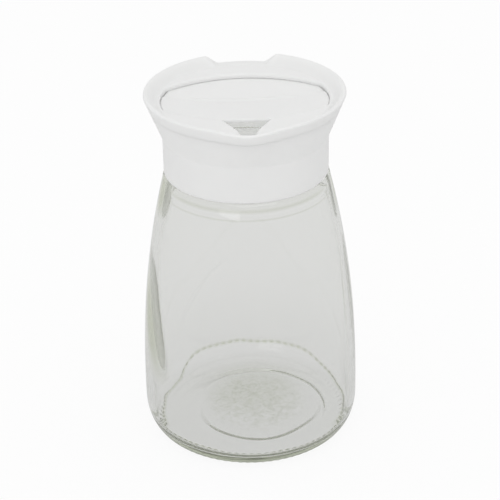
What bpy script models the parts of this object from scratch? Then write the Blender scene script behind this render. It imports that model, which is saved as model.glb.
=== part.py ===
"""Sugar dispenser: a bell-shaped glass jar with a push-on pouring lid.

The lid is three plastic mouldings: a collar that grips the jar's neck, a dished deck
with a lens-shaped opening and a spout cut, and a flap that rocks on two stub pins.
The origin is on the ground under the jar's axis, +Z is up and the spout faces -Y.
Every length is in metres.
"""
import math

import bmesh
import bpy
from mathutils import Vector

MM = 0.001

# Fits shared by all the pieces
SEAT_GAP = 0.3 * MM
SIDE_CLEARANCE = 0.5 * MM

# Glass jar
BEARING_RADIUS = 34.4 * MM
BEARING_WIDTH = 3.5 * MM
PUNT_RADIUS = 23.0 * MM
PUNT_DEPTH = 2.4 * MM
PUNT_STEP = 1.0 * MM
HEEL_HEIGHT = 12.4 * MM
BELLY_RADIUS = 41.5 * MM
BELLY_HEIGHT = 15.0 * MM
SHOULDER_HEIGHT = 108.2 * MM
BELL_POWER = 2.2
NECK_RADIUS = 27.9 * MM
NECK_HEIGHT = 12.8 * MM
GLASS_WALL = 3.0 * MM
FLOOR_THICKNESS = 6.0 * MM
FLOOR_FILLET = 8.0 * MM
BEAD_REACH = 0.6 * MM
BEAD_HEIGHT = 2.0 * MM
BEAD_RISE = 4.0 * MM
BEAD_FLAT = 0.8 * MM

# Collar
SKIRT_WALL = 1.7 * MM
SKIRT_FOOT_GAP = 0.5 * MM
RIB_REACH = 0.3 * MM
RIB_HEIGHT = 1.2 * MM
RIB_FLAT = 0.6 * MM
COLLAR_EDGE = 0.4 * MM
LEDGE_THICKNESS = 1.6 * MM
PLUG_DEPTH = 3.0 * MM
PLUG_WALL = 1.2 * MM
FLARE_HEIGHT = 12.2 * MM
FLARE_SPREAD = 4.8 * MM
FLARE_WALL = 1.4 * MM

# Pour deck
RIM_HEIGHT = 4.6 * MM
RIM_OVERHANG = 1.6 * MM
RIM_FOOT_OVERHANG = 0.1 * MM
RIM_WIDTH = 2.0 * MM
RIM_EDGE_RADIUS = 0.8 * MM
DISH_DEPTH = 3.3 * MM
DISH_RUN = 3.4 * MM
DECK_THICKNESS = 1.6 * MM
HOOP_DEPTH = 3.3 * MM
HOOP_WALL = 1.0 * MM
OPENING_FRONT = 19.9 * MM
OPENING_REAR = 22.6 * MM
FRONT_ARC_RADIUS = 45.0 * MM
REAR_ARC_RADIUS = 43.5 * MM
SPOUT_REACH = 32.8 * MM
SPOUT_HALF_WIDTH = 9.0 * MM
SPOUT_TIP_RADIUS = 3.4 * MM
LIP_DROP = 1.3 * MM
LIP_REACH = 1.4 * MM
LIP_SPREAD = 9.5 * MM
THUMB_DEPTH = 3.2 * MM
THUMB_FLOOR_WIDTH = 18.9 * MM
THUMB_TOP_WIDTH = 27.0 * MM

# Rocker flap
PIVOT_BEHIND = 6.0 * MM
PIVOT_DROP = 1.4 * MM
FLAP_THICKNESS = 1.3 * MM
FLAP_SINK = 0.4 * MM
FLAP_TUCK = 1.2 * MM
FLAP_STRAIGHT_HALF = 8.0 * MM
VALLEY_DEPTH = 2.4 * MM
BOSS_RADIUS = 1.6 * MM
BOSS_LENGTH = 1.8 * MM
STUB_RADIUS = 1.0 * MM
STUB_GAP = 0.3 * MM

# Facets
ROUND_STEPS = 64
ARC_STEPS = 6

# Heights and radii that follow from the sizes above
MOUTH_HEIGHT = SHOULDER_HEIGHT + NECK_HEIGHT
SKIRT_INNER_RADIUS = NECK_RADIUS + BEAD_REACH + SEAT_GAP + RIB_REACH
SKIRT_RADIUS = SKIRT_INNER_RADIUS + SKIRT_WALL
SKIRT_FOOT = SHOULDER_HEIGHT + SKIRT_FOOT_GAP
LEDGE_HEIGHT = MOUTH_HEIGHT + SEAT_GAP
CREASE_HEIGHT = LEDGE_HEIGHT + LEDGE_THICKNESS
FLARE_TOP = CREASE_HEIGHT + FLARE_HEIGHT
FLARE_TOP_RADIUS = SKIRT_RADIUS + FLARE_SPREAD
FLARE_SLOPE = FLARE_SPREAD / FLARE_HEIGHT
FLARE_WALL_ACROSS = FLARE_WALL * math.hypot(1.0, FLARE_SLOPE)
MOUTH_RADIUS = NECK_RADIUS - GLASS_WALL
RIM_FOOT = FLARE_TOP + SEAT_GAP
RIM_TOP = RIM_FOOT + RIM_HEIGHT
RIM_RADIUS = FLARE_TOP_RADIUS + RIM_OVERHANG
DISH_TOP = RIM_TOP - DISH_DEPTH
DECK_UNDERSIDE = DISH_TOP - DECK_THICKNESS
DISH_FLAT_RADIUS = RIM_RADIUS - RIM_WIDTH - DISH_RUN
HOOP_FOOT = DECK_UNDERSIDE - HOOP_DEPTH
PIVOT_HEIGHT = DECK_UNDERSIDE - PIVOT_DROP


def flare_inside(height):
    """Radius of the flare's inner face at a height."""
    return SKIRT_RADIUS + (height - CREASE_HEIGHT) * FLARE_SLOPE - FLARE_WALL_ACROSS


def hoop_outside(height):
    """Radius of the deck's locating hoop, which runs beside the flare's inner face."""
    return flare_inside(height) - SEAT_GAP


def hoop_inside(height):
    """Radius of the hoop's inner face."""
    return hoop_outside(height) - HOOP_WALL


# The flap's rear corners swing down inside the hoop, so its foot sets their reach
TURNING_RADIUS = hoop_inside(HOOP_FOOT) - SIDE_CLEARANCE
FLAP_HALF_LENGTH = math.sqrt(TURNING_RADIUS ** 2 - (PIVOT_BEHIND + BOSS_RADIUS) ** 2)

# The opening's two ends follow a circle just outside the flap's
OPENING_END_RADIUS = TURNING_RADIUS + SIDE_CLEARANCE


def clear_scene():
    """Removes every object, so that the model starts from an empty scene."""
    for leftover in list(bpy.data.objects):
        bpy.data.objects.remove(leftover, do_unlink=True)


def make_collection(name):
    """Adds a collection under the scene's own."""
    collection = bpy.data.collections.new(name)
    bpy.context.scene.collection.children.link(collection)
    return collection


def make_material(name, color, roughness, transmission=0.0):
    """A Principled material with a plain colour."""
    material = bpy.data.materials.new(name)
    material.use_nodes = True
    shader = material.node_tree.nodes["Principled BSDF"]
    shader.inputs["Base Color"].default_value = (*color, 1.0)
    shader.inputs["Roughness"].default_value = roughness
    shader.inputs["Metallic"].default_value = 0.0
    shader.inputs["Transmission Weight"].default_value = transmission
    material.diffuse_color = (*color, 1.0)
    return material


def arc(center, radii, start, end, steps=ARC_STEPS):
    """Points along an elliptical arc, with angles in degrees from +X."""
    points = []
    for step in range(steps + 1):
        angle = math.radians(start + (end - start) * step / steps)
        points.append((center[0] + radii[0] * math.cos(angle),
                       center[1] + radii[1] * math.sin(angle)))
    return points


def mesh_object(name, mesh, collection, material=None):
    """Wraps a mesh in an object with smooth shading and one material."""
    obj = bpy.data.objects.new(name, mesh)
    collection.objects.link(obj)
    if material is not None:
        mesh.materials.clear()
        mesh.materials.append(material)
        mesh.shade_smooth()
        mesh.set_sharp_from_angle(angle=math.radians(35.0))
    return obj


def realised_mesh(obj):
    """The object's evaluated mesh with its seams welded, in place of the object."""
    graph = bpy.context.evaluated_depsgraph_get()
    mesh = bpy.data.meshes.new_from_object(obj.evaluated_get(graph))
    mesh.transform(obj.matrix_world)
    bpy.data.objects.remove(obj, do_unlink=True)
    work = bmesh.new()
    work.from_mesh(mesh)
    bmesh.ops.remove_doubles(work, verts=work.verts, dist=0.002 * MM)
    loose = [edge for edge in work.edges if not edge.link_faces]
    bmesh.ops.delete(work, geom=loose, context="EDGES")
    work.to_mesh(mesh)
    work.free()
    return mesh


def turned_mesh(name, profile, collection):
    """Turns a closed half-section of (radius, height) points about the Z axis.

    The points go down the outer side first, so that the faces point out.
    """
    mesh = bpy.data.meshes.new(name)
    count = len(profile)
    mesh.from_pydata([(radius, 0.0, height) for radius, height in profile],
                     [(i, (i + 1) % count) for i in range(count)], [])
    obj = bpy.data.objects.new(name, mesh)
    collection.objects.link(obj)
    screw = obj.modifiers.new("turn", "SCREW")
    screw.axis = "Z"
    screw.steps = ROUND_STEPS
    screw.render_steps = ROUND_STEPS
    screw.use_merge_vertices = True
    screw.merge_threshold = 0.00001
    bpy.context.view_layer.update()
    return realised_mesh(obj)


def outline_mesh(name, outline, low, high, collection):
    """A straight-sided solid from a flat outline, between two heights."""
    curve = bpy.data.curves.new(name, "CURVE")
    curve.dimensions = "2D"
    curve.fill_mode = "BOTH"
    curve.extrude = (high - low) / 2.0
    spline = curve.splines.new("POLY")
    spline.points.add(len(outline) - 1)
    for point, (x, y) in zip(spline.points, outline):
        point.co = (x, y, 0.0, 1.0)
    spline.use_cyclic_u = True
    obj = bpy.data.objects.new(name, curve)
    obj.location = (0.0, 0.0, (low + high) / 2.0)
    collection.objects.link(obj)
    bpy.context.view_layer.update()
    return realised_mesh(obj)


def keep_as_tool(obj, name, cutters):
    """Moves an object to the cutters, which shape others and aren't pieces themselves."""
    obj.name = name
    for holder in list(obj.users_collection):
        holder.objects.unlink(obj)
    cutters.objects.link(obj)
    obj.hide_render = True
    obj.display_type = "WIRE"
    return obj


def make_cutter(name, mesh, cutters):
    """A cutter from a mesh."""
    return keep_as_tool(bpy.data.objects.new(name, mesh), name, cutters)


def add_boolean(obj, tool, operation):
    """Cuts or joins with an exact Boolean."""
    modifier = obj.modifiers.new(operation.lower() + "_" + tool.name, "BOOLEAN")
    modifier.operation = operation
    modifier.solver = "EXACT"
    modifier.object = tool
    return modifier


def cross_rod(name, radius, start, end, cutters):
    """A round rod along X at the flap's axis, from one X to another."""
    bpy.ops.mesh.primitive_cylinder_add(vertices=20, radius=radius, depth=abs(end - start),
                                        location=((start + end) / 2.0, PIVOT_BEHIND, PIVOT_HEIGHT),
                                        rotation=(0.0, math.pi / 2.0, 0.0))
    return keep_as_tool(bpy.context.object, name, cutters)


def bell_radius(height):
    """Radius of the jar's outside above its widest point."""
    share = (height - BELLY_HEIGHT) / (SHOULDER_HEIGHT - BELLY_HEIGHT)
    return BELLY_RADIUS - (BELLY_RADIUS - SKIRT_RADIUS) * max(share, 0.0) ** BELL_POWER


def jar_profile():
    """Half-section of the jar: outside from the mouth down, then the inside back up."""
    bell_steps = 10
    heights = [SHOULDER_HEIGHT - (SHOULDER_HEIGHT - BELLY_HEIGHT) * i / bell_steps
               for i in range(bell_steps + 1)]
    rolled = GLASS_WALL / 2.0
    points = arc((NECK_RADIUS - rolled, MOUTH_HEIGHT - rolled), (rolled, rolled), 90.0, 0.0, 3)
    bead_middle = SHOULDER_HEIGHT + BEAD_RISE
    points += [(NECK_RADIUS, bead_middle + BEAD_HEIGHT / 2.0),
               (NECK_RADIUS + BEAD_REACH, bead_middle + BEAD_FLAT / 2.0),
               (NECK_RADIUS + BEAD_REACH, bead_middle - BEAD_FLAT / 2.0),
               (NECK_RADIUS, bead_middle - BEAD_HEIGHT / 2.0)]
    root = SKIRT_WALL / 2.0
    points += arc((NECK_RADIUS + root, SHOULDER_HEIGHT + root), (root, root), 180.0, 270.0, 3)
    points += [(bell_radius(height), height) for height in heights]
    points += arc((BEARING_RADIUS, HEEL_HEIGHT), (BELLY_RADIUS - BEARING_RADIUS, HEEL_HEIGHT),
                  0.0, -90.0, 7)
    points += [(BEARING_RADIUS - BEARING_WIDTH, 0.0),
               (PUNT_RADIUS + PUNT_STEP, PUNT_DEPTH - PUNT_STEP),
               (PUNT_RADIUS, PUNT_DEPTH),
               (0.0, PUNT_DEPTH)]
    floor = FLOOR_THICKNESS
    wall_inside = BELLY_RADIUS - GLASS_WALL
    points += [(0.0, floor)]
    points += arc((wall_inside - FLOOR_FILLET, floor + FLOOR_FILLET),
                  (FLOOR_FILLET, FLOOR_FILLET), -90.0, 0.0)
    points += [(bell_radius(height) - GLASS_WALL, height) for height in reversed(heights)
               if floor + FLOOR_FILLET < height < SHOULDER_HEIGHT - GLASS_WALL]
    points += [(MOUTH_RADIUS, SHOULDER_HEIGHT)]
    points += arc((NECK_RADIUS - rolled, MOUTH_HEIGHT - rolled), (rolled, rolled), 180.0, 90.0, 3)[:-1]
    return points


def collar_profile():
    """Half-section of the collar: flare and skirt outside, then ledge and plug inside."""
    edge = COLLAR_EDGE
    rib_middle = SKIRT_FOOT + RIB_HEIGHT
    inner_crease = flare_inside(CREASE_HEIGHT)
    plug_radius = MOUTH_RADIUS - SEAT_GAP
    plug_inside = plug_radius - PLUG_WALL
    return [
        (FLARE_TOP_RADIUS, FLARE_TOP),
        (SKIRT_RADIUS, CREASE_HEIGHT),
        (SKIRT_RADIUS, SKIRT_FOOT + edge),
        (SKIRT_RADIUS - edge, SKIRT_FOOT),
        (SKIRT_INNER_RADIUS, SKIRT_FOOT),
        (SKIRT_INNER_RADIUS - RIB_REACH, rib_middle - RIB_FLAT / 2.0),
        (SKIRT_INNER_RADIUS - RIB_REACH, rib_middle + RIB_FLAT / 2.0),
        (SKIRT_INNER_RADIUS, rib_middle + RIB_HEIGHT / 2.0),
        (SKIRT_INNER_RADIUS, LEDGE_HEIGHT),
        (plug_radius, LEDGE_HEIGHT),
        (plug_radius, LEDGE_HEIGHT - PLUG_DEPTH),
        (plug_inside, LEDGE_HEIGHT - PLUG_DEPTH),
        (plug_inside, CREASE_HEIGHT - edge),
        (plug_inside + edge, CREASE_HEIGHT),
        (inner_crease, CREASE_HEIGHT),
        (FLARE_TOP_RADIUS - FLARE_WALL_ACROSS, FLARE_TOP),
    ]


def deck_profile():
    """Half-section of the deck before its cuts: rolled rim, dish and locating hoop."""
    edge = RIM_EDGE_RADIUS
    points = arc((RIM_RADIUS - edge, RIM_TOP - edge), (edge, edge), 90.0, 0.0, 4)
    points += [
        (FLARE_TOP_RADIUS + RIM_FOOT_OVERHANG, RIM_FOOT),
        (hoop_outside(RIM_FOOT), RIM_FOOT),
        (hoop_outside(HOOP_FOOT), HOOP_FOOT),
        (hoop_inside(HOOP_FOOT), HOOP_FOOT),
        (hoop_inside(DECK_UNDERSIDE), DECK_UNDERSIDE),
        (0.0, DECK_UNDERSIDE),
        (0.0, DISH_TOP),
    ]
    dish_steps = 6
    for step in range(dish_steps):
        share = step / dish_steps
        ease = share * share * (3.0 - 2.0 * share)
        reach = DISH_RUN + RIM_WIDTH - edge
        points.append((DISH_FLAT_RADIUS + reach * share, DISH_TOP + DISH_DEPTH * ease))
    return points


def draw_out_lip(mesh, foot, top):
    """Draws the front of the rim out and down over the spout, fading out to the sides."""
    for vertex in mesh.vertices:
        x, y, z = vertex.co
        radius = math.hypot(x, y)
        if y >= 0.0 or radius < DISH_FLAT_RADIUS - DISH_RUN:
            continue
        across = math.exp(-(x / LIP_SPREAD) ** 2)
        upward = min(max((z - foot) / (top - foot), 0.0), 1.0)
        outward = min((radius - DISH_FLAT_RADIUS + DISH_RUN) / DISH_RUN, 1.0)
        vertex.co.y = y - LIP_REACH * across * upward * outward
        vertex.co.z = z - LIP_DROP * across * upward * outward


def front_edge(x, margin=0.0):
    """Y of the opening's front arc, or of a curve a margin outside it."""
    return FRONT_ARC_RADIUS - OPENING_FRONT - math.sqrt((FRONT_ARC_RADIUS + margin) ** 2 - x * x)


def rear_edge(x, margin=0.0):
    """Y of the opening's rear arc, or of a curve a margin outside it."""
    return OPENING_REAR - REAR_ARC_RADIUS + math.sqrt((REAR_ARC_RADIUS + margin) ** 2 - x * x)


def circle_distance(center, radius, angle):
    """Distance from the axis, at an angle, to a circle whose center is on Y and that holds the axis."""
    across = center * math.cos(angle)
    return center * math.sin(angle) + math.sqrt(radius ** 2 - across ** 2)


def opening_point(angle):
    """Point of the opening's edge at an angle, without the spout cut."""
    front = circle_distance(FRONT_ARC_RADIUS - OPENING_FRONT, FRONT_ARC_RADIUS, angle)
    rear = circle_distance(OPENING_REAR - REAR_ARC_RADIUS, REAR_ARC_RADIUS, angle)
    reach = min(front, rear, OPENING_END_RADIUS)
    return (reach * math.cos(angle), reach * math.sin(angle))


def spout_side():
    """Points of the spout cut from the right arm's root round its tip to the left arm's."""
    root = Vector((SPOUT_HALF_WIDTH, front_edge(SPOUT_HALF_WIDTH)))
    tip_center = Vector((0.0, SPOUT_TIP_RADIUS - SPOUT_REACH))
    span = root - tip_center
    lean = math.atan2(span.y, span.x) - math.acos(SPOUT_TIP_RADIUS / span.length)
    start = math.degrees(lean)
    return arc(tip_center, (SPOUT_TIP_RADIUS, SPOUT_TIP_RADIUS), start, -180.0 - start, 8)


def opening_outline():
    """The opening with the spout cut at its front, counter-clockwise from the right arm's root."""
    steps = 60
    root = math.atan2(front_edge(SPOUT_HALF_WIDTH), SPOUT_HALF_WIDTH)
    sweep = 2.0 * (math.pi / 2.0 - root)
    edge = [opening_point(root + sweep * i / steps) for i in range(steps + 1)]
    return edge + list(reversed(spout_side()))


def thumb_outline():
    """Trapezoid of the thumb cut, in X and height."""
    floor = RIM_TOP - THUMB_DEPTH
    above = RIM_TOP + THUMB_DEPTH
    flank = (THUMB_TOP_WIDTH - THUMB_FLOOR_WIDTH) / 2.0
    upper = THUMB_FLOOR_WIDTH / 2.0 + flank * 2.0
    return [(-THUMB_FLOOR_WIDTH / 2.0, floor), (THUMB_FLOOR_WIDTH / 2.0, floor),
            (upper, above), (-upper, above)]


def build_jar(parts, material):
    """The glass jar."""
    mesh = turned_mesh("glass_jar", jar_profile(), parts)
    return mesh_object("glass_jar", mesh, parts, material)


def build_collar(parts, material):
    """The collar: skirt, ledge, plug and flare."""
    mesh = turned_mesh("collar", collar_profile(), parts)
    draw_out_lip(mesh, CREASE_HEIGHT, RIM_TOP)
    return mesh_object("collar", mesh, parts, material)


def build_deck(parts, cutters, material):
    """The pour deck with its opening, spout cut, thumb cut and pin holes."""
    mesh = turned_mesh("pour_deck", deck_profile(), parts)
    draw_out_lip(mesh, CREASE_HEIGHT, RIM_TOP)
    deck = mesh_object("pour_deck", mesh, parts, material)

    opening = outline_mesh("opening", opening_outline(), DECK_UNDERSIDE - DECK_THICKNESS / 2.0,
                           RIM_TOP + DISH_DEPTH, cutters)
    add_boolean(deck, make_cutter("opening_cutter", opening, cutters), "DIFFERENCE")

    notch = outline_mesh("thumb", thumb_outline(), -RIM_RADIUS - THUMB_DEPTH, -OPENING_REAR,
                         cutters)
    thumb_cutter = make_cutter("thumb_cutter", notch, cutters)
    thumb_cutter.rotation_euler = (math.pi / 2.0, 0.0, 0.0)
    add_boolean(deck, thumb_cutter, "DIFFERENCE")

    inner = FLAP_HALF_LENGTH - BOSS_LENGTH
    for side, name in ((1.0, "right_hole"), (-1.0, "left_hole")):
        hole = cross_rod(name, STUB_RADIUS + STUB_GAP, side * inner, side * RIM_RADIUS, cutters)
        add_boolean(deck, hole, "DIFFERENCE")
    return deck


def flap_mesh():
    """The flap's plate as a grid: two leaves that meet in a valley over the axis."""
    half = FLAP_HALF_LENGTH
    columns = 32
    rows = 4
    front_height = DISH_TOP - FLAP_SINK
    rear_height = DECK_UNDERSIDE - SEAT_GAP
    front_reach = PIVOT_BEHIND + OPENING_FRONT - SIDE_CLEARANCE
    rear_reach = OPENING_REAR + FLAP_TUCK - PIVOT_BEHIND
    fall = (front_height - rear_height) * front_reach / (front_reach + rear_reach)
    verts = []
    for column in range(columns + 1):
        x = half * (2.0 * column / columns - 1.0)
        straight = front_edge(FLAP_STRAIGHT_HALF, -SIDE_CLEARANCE)
        swing = math.sqrt(TURNING_RADIUS ** 2 - x * x)
        front = max(front_edge(x, -SIDE_CLEARANCE), straight, -swing)
        rear = min(rear_edge(x, FLAP_TUCK), swing)
        valley = front_height - fall - VALLEY_DEPTH * (1.0 - (x / half) ** 2)
        for row in range(-rows, rows + 1):
            share = abs(row) / rows
            end = front if row < 0 else rear
            y = PIVOT_BEHIND + (end - PIVOT_BEHIND) * share
            edge_height = front_height if row < 0 else rear_height
            bulge = max(math.sqrt(max(TURNING_RADIUS ** 2 - y * y, 0.0)) / half, 1.0)
            verts.append((x * bulge, y, valley + (edge_height - valley) * share))
    width = 2 * rows + 1
    faces = []
    for column in range(columns):
        for row in range(width - 1):
            a = column * width + row
            faces.append((a, a + width, a + width + 1, a + 1))
    mesh = bpy.data.meshes.new("rocker_flap")
    mesh.from_pydata(verts, [], faces)
    return mesh


def build_flap(parts, cutters, material):
    """The rocker flap with its bosses and stub pins, its origin on the pins' axis."""
    mesh = flap_mesh()
    pivot = Vector((0.0, PIVOT_BEHIND, PIVOT_HEIGHT))
    for vertex in mesh.vertices:
        vertex.co -= pivot
    flap = mesh_object("rocker_flap", mesh, parts, material)
    flap.location = pivot
    shell = flap.modifiers.new("thickness", "SOLIDIFY")
    shell.thickness = FLAP_THICKNESS
    shell.offset = -1.0

    outer = FLAP_HALF_LENGTH - SIDE_CLEARANCE
    inner = outer - BOSS_LENGTH
    flare_near_pin = flare_inside(PIVOT_HEIGHT - STUB_RADIUS) - SEAT_GAP
    stub_end = math.sqrt(flare_near_pin ** 2 - (PIVOT_BEHIND + STUB_RADIUS) ** 2)
    for side, name in ((1.0, "right"), (-1.0, "left")):
        boss = cross_rod(name + "_boss", BOSS_RADIUS, side * inner, side * outer, cutters)
        stub = cross_rod(name + "_stub", STUB_RADIUS, side * (inner + outer) / 2.0,
                         side * stub_end, cutters)
        add_boolean(boss, stub, "UNION")
        add_boolean(flap, boss, "UNION")
    return flap


def main():
    """Builds every piece of the dispenser."""
    clear_scene()
    parts = make_collection("sugar_dispenser")
    cutters = make_collection("sugar_dispenser_cutters")
    glass = make_material("clear_glass", (0.86, 0.88, 0.84), 0.03, transmission=1.0)
    plastic = make_material("white_plastic", (0.86, 0.86, 0.85), 0.35)
    build_jar(parts, glass)
    build_collar(parts, plastic)
    build_deck(parts, cutters, plastic)
    build_flap(parts, cutters, plastic)


main()
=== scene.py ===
"""Looks for a sugar dispenser: a glass jar with a white lid of collar, pour deck and flap.

Every length is in metres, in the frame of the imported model: the origin is on the ground
under the jar's axis, +Z is up and the spout faces -Y.
"""

import logging
import math
from dataclasses import dataclass
from enum import Enum

import bpy
import numpy as np
from mathutils import Matrix, Vector

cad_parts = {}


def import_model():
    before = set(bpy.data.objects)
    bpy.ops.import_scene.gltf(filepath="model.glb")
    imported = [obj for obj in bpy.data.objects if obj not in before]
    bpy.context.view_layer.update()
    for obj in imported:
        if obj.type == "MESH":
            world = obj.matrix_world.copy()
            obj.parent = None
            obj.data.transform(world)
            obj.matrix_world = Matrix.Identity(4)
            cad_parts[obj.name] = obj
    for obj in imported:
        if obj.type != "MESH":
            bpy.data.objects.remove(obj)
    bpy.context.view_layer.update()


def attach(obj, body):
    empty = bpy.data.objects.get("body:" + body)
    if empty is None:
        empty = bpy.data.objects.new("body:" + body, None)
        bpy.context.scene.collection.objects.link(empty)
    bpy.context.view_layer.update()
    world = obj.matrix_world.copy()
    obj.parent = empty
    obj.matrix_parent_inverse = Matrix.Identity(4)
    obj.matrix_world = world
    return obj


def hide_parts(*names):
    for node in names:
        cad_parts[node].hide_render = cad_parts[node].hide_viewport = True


LOG = logging.getLogger("sugar_dispenser")
MM = 0.001
TURN = 2.0 * math.pi
# Distance under which two points of a section count as one
NEAR = 0.001 * MM
# Size, count round the axis and phase of each of a few sine waves
Waves = tuple[tuple[float, float, float], ...]


class Body(Enum):
    """The parts of the dispenser that move as one."""

    JAR = "jar"
    LID = "lid"
    FLAP = "flap"


class Slot(Enum):
    """The record's material slots."""

    GLASS = "clear_glass"
    COLLAR = "collar_plastic"
    DECK = "deck_plastic"
    FLAP = "flap_plastic"


class Mark(Enum):
    """The point attributes of the jar's mesh that its glass reads."""

    # Painted shade along the fold, partly the deeper tint of thicker glass.
    FOLD_SHADE = "pooled"
    # Painted shade along the streaks, partly the deeper tint of thicker glass.
    STREAK_SHADE = "streaked"
    OUTER = "outer"


def grid_faces(rows: int, columns: int, wrap_rows: bool, wrap_columns: bool) -> np.ndarray:
    """Corner numbers of the quads of a grid whose points are stored row by row.

    Args:
        rows: Number of rows of points.
        columns: Number of points in a row.
        wrap_rows: Whether the last row joins the first.
        wrap_columns: Whether the last column joins the first.

    Returns:
        An array of four corner numbers for each quad, facing column step cross row step.
    """
    row, column = np.meshgrid(np.arange(rows if wrap_rows else rows - 1),
                              np.arange(columns if wrap_columns else columns - 1), indexing="ij")
    upper = (row + 1) % rows
    beside = (column + 1) % columns
    corners = [row * columns + column, row * columns + beside,
               upper * columns + beside, upper * columns + column]
    return np.stack(corners, axis=-1).reshape(-1, 4)


def smooth_min(first: np.ndarray, second: np.ndarray, blend: float) -> np.ndarray:
    """The lower of two heights, with the corner where they cross rounded off.

    Where they differ by less than blend, (blend - difference) squared over 4 blend comes off.

    Args:
        first: One surface's values.
        second: The other's.
        blend: Difference under which the corner is rounded.

    Returns:
        The rounded lower values.
    """
    spare = np.clip(blend - np.abs(first - second), 0.0, None)
    return np.minimum(first, second) - spare ** 2 / (4.0 * blend)


def smooth_step(value: np.ndarray) -> np.ndarray:
    """Eases from 0 to 1: 3 v squared minus 2 v cubed, held at 0 and 1 outside."""
    held = np.clip(value, 0.0, 1.0)
    return held * held * (3.0 - 2.0 * held)


def bell_curve(value: np.ndarray, middle: float | np.ndarray, width: float) -> np.ndarray:
    """A bell curve: e to minus the square of the distance from the middle over the width."""
    return np.exp(-((value - middle) / width) ** 2)


def wandering(angles: np.ndarray, waves: Waves) -> np.ndarray:
    """A sum of waves, each its size times the sine of count times angle plus phase."""
    return sum(size * np.sin(count * angles + phase) for size, count, phase in waves)


def arc(center: tuple[float, float], radii: tuple[float, float], start: float, end: float,
        steps: int) -> np.ndarray:
    """Points on an ellipse: the center plus (cos, sin) of the angle times the two radii.

    Args:
        center: Radius and height of the center.
        radii: Half axes along radius and height.
        start: First angle in degrees from the outward direction.
        end: Last angle.
        steps: Number of steps between them.

    Returns:
        Points as rows of radius and height.
    """
    angle = np.radians(np.linspace(start, end, steps + 1))
    return np.stack([center[0] + radii[0] * np.cos(angle),
                     center[1] + radii[1] * np.sin(angle)], axis=1)


def softened(corners: list[tuple[float, float]], radii: tuple[float, ...],
             steps: int = 5) -> np.ndarray:
    """A polyline whose inner corners are rounded.

    Each corner is swapped for the curve (1-t)^2 A + 2t(1-t) P + t^2 B, where A and B lie
    on its two sides one radius from the corner P, or under half a side where it is short.

    Args:
        corners: Radius and height of each corner, ends included.
        radii: How far from each inner corner its rounding starts.
        steps: Steps in each rounding.

    Returns:
        Points as rows of radius and height, without doubles.
    """
    points = np.array(corners, float)
    side = points[1:] - points[:-1]
    length = np.linalg.norm(side, axis=1)
    unit = side / length[:, None]
    reach = np.minimum(np.array(radii), 0.48 * np.minimum(length[:-1], length[1:]))
    before = points[1:-1] - unit[:-1] * reach[:, None]
    after = points[1:-1] + unit[1:] * reach[:, None]
    t = np.linspace(0.0, 1.0, steps + 1)[None, :, None]
    curve = ((1.0 - t) ** 2 * before[:, None] + 2.0 * t * (1.0 - t) * points[1:-1, None]
             + t ** 2 * after[:, None])
    return np.concatenate([points[:1], curve.reshape(-1, 2), points[-1:]])


def subdivided(points: np.ndarray, longest: float) -> np.ndarray:
    """A polyline with its doubles dropped and its long sides cut into equal shorter ones.

    Args:
        points: Rows of radius and height.
        longest: Longest side that is left whole.

    Returns:
        Rows of radius and height that lie on the same line.
    """
    points = points[np.r_[True, np.linalg.norm(np.diff(points, axis=0), axis=1) > NEAR]]
    side = np.diff(points, axis=0)
    count = np.maximum(np.ceil(np.linalg.norm(side, axis=1) / longest), 1).astype(int)
    owner = np.repeat(np.arange(len(count)), count)
    share = (np.arange(count.sum()) - np.repeat(np.cumsum(count) - count, count)) / count[owner]
    return np.concatenate([points[owner] + side[owner] * share[:, None], points[-1:]])


def turned(profile: np.ndarray, angles: np.ndarray) -> np.ndarray:
    """A profile turned about Z: (radius cos angle, radius sin angle, height).

    Args:
        profile: Rows of radius and height.
        angles: Angles of the columns.

    Returns:
        Points as an array of profile rows by angles by XYZ.
    """
    radius, height = profile[:, :1], profile[:, 1:]
    return np.stack([radius * np.cos(angles), radius * np.sin(angles),
                     np.broadcast_to(height, (len(profile), len(angles)))], axis=-1)


def closed_ball(points: np.ndarray) -> tuple[np.ndarray, list[np.ndarray]]:
    """Closes a turned grid whose first and last rows lie on its axis.

    Args:
        points: Grid of rows by columns by XYZ.

    Returns:
        The points with one for each pole, and the faces: quads, then the two fans.
    """
    rows, columns = points.shape[0] - 2, points.shape[1]
    flat = np.concatenate([points[1:-1].reshape(-1, 3), points[:1, 0], points[-1:, 0]])
    column = np.arange(columns)
    beside = (column + 1) % columns
    first = np.stack([np.full(columns, rows * columns), beside, column], axis=1)
    top = (rows - 1) * columns
    last = np.stack([top + column, top + beside, np.full(columns, rows * columns + 1)], axis=1)
    return flat, [grid_faces(rows, columns, False, True), first, last]


def make_piece(name: str, points: np.ndarray, faces: list[np.ndarray]) -> bpy.types.Object:
    """An object at the origin from points and faces, shaded smooth.

    Args:
        name: Name of the object and its mesh.
        points: XYZ of each point.
        faces: Arrays of corner numbers, one array for each number of corners.

    Returns:
        The new object, linked to the scene.
    """
    mesh = bpy.data.meshes.new(name)
    mesh.from_pydata(points.tolist(), [], [face for group in faces for face in group.tolist()])
    mesh.shade_smooth()
    piece = bpy.data.objects.new(name, mesh)
    bpy.context.scene.collection.objects.link(piece)
    return piece


def settle(piece: bpy.types.Object, body: Body, node: str,
           material: bpy.types.Material) -> None:
    """Gives a piece its body and its material, and hides the CAD node that it stands for.

    Args:
        piece: The new object.
        body: The body that it rides on.
        node: The CAD node that it replaces.
        material: Its material.
    """
    piece.data.materials.append(material)
    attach(piece, body.value)
    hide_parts(node)
    LOG.info("%s: %d points, on %s", piece.name, len(piece.data.vertices), body.value)


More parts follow.
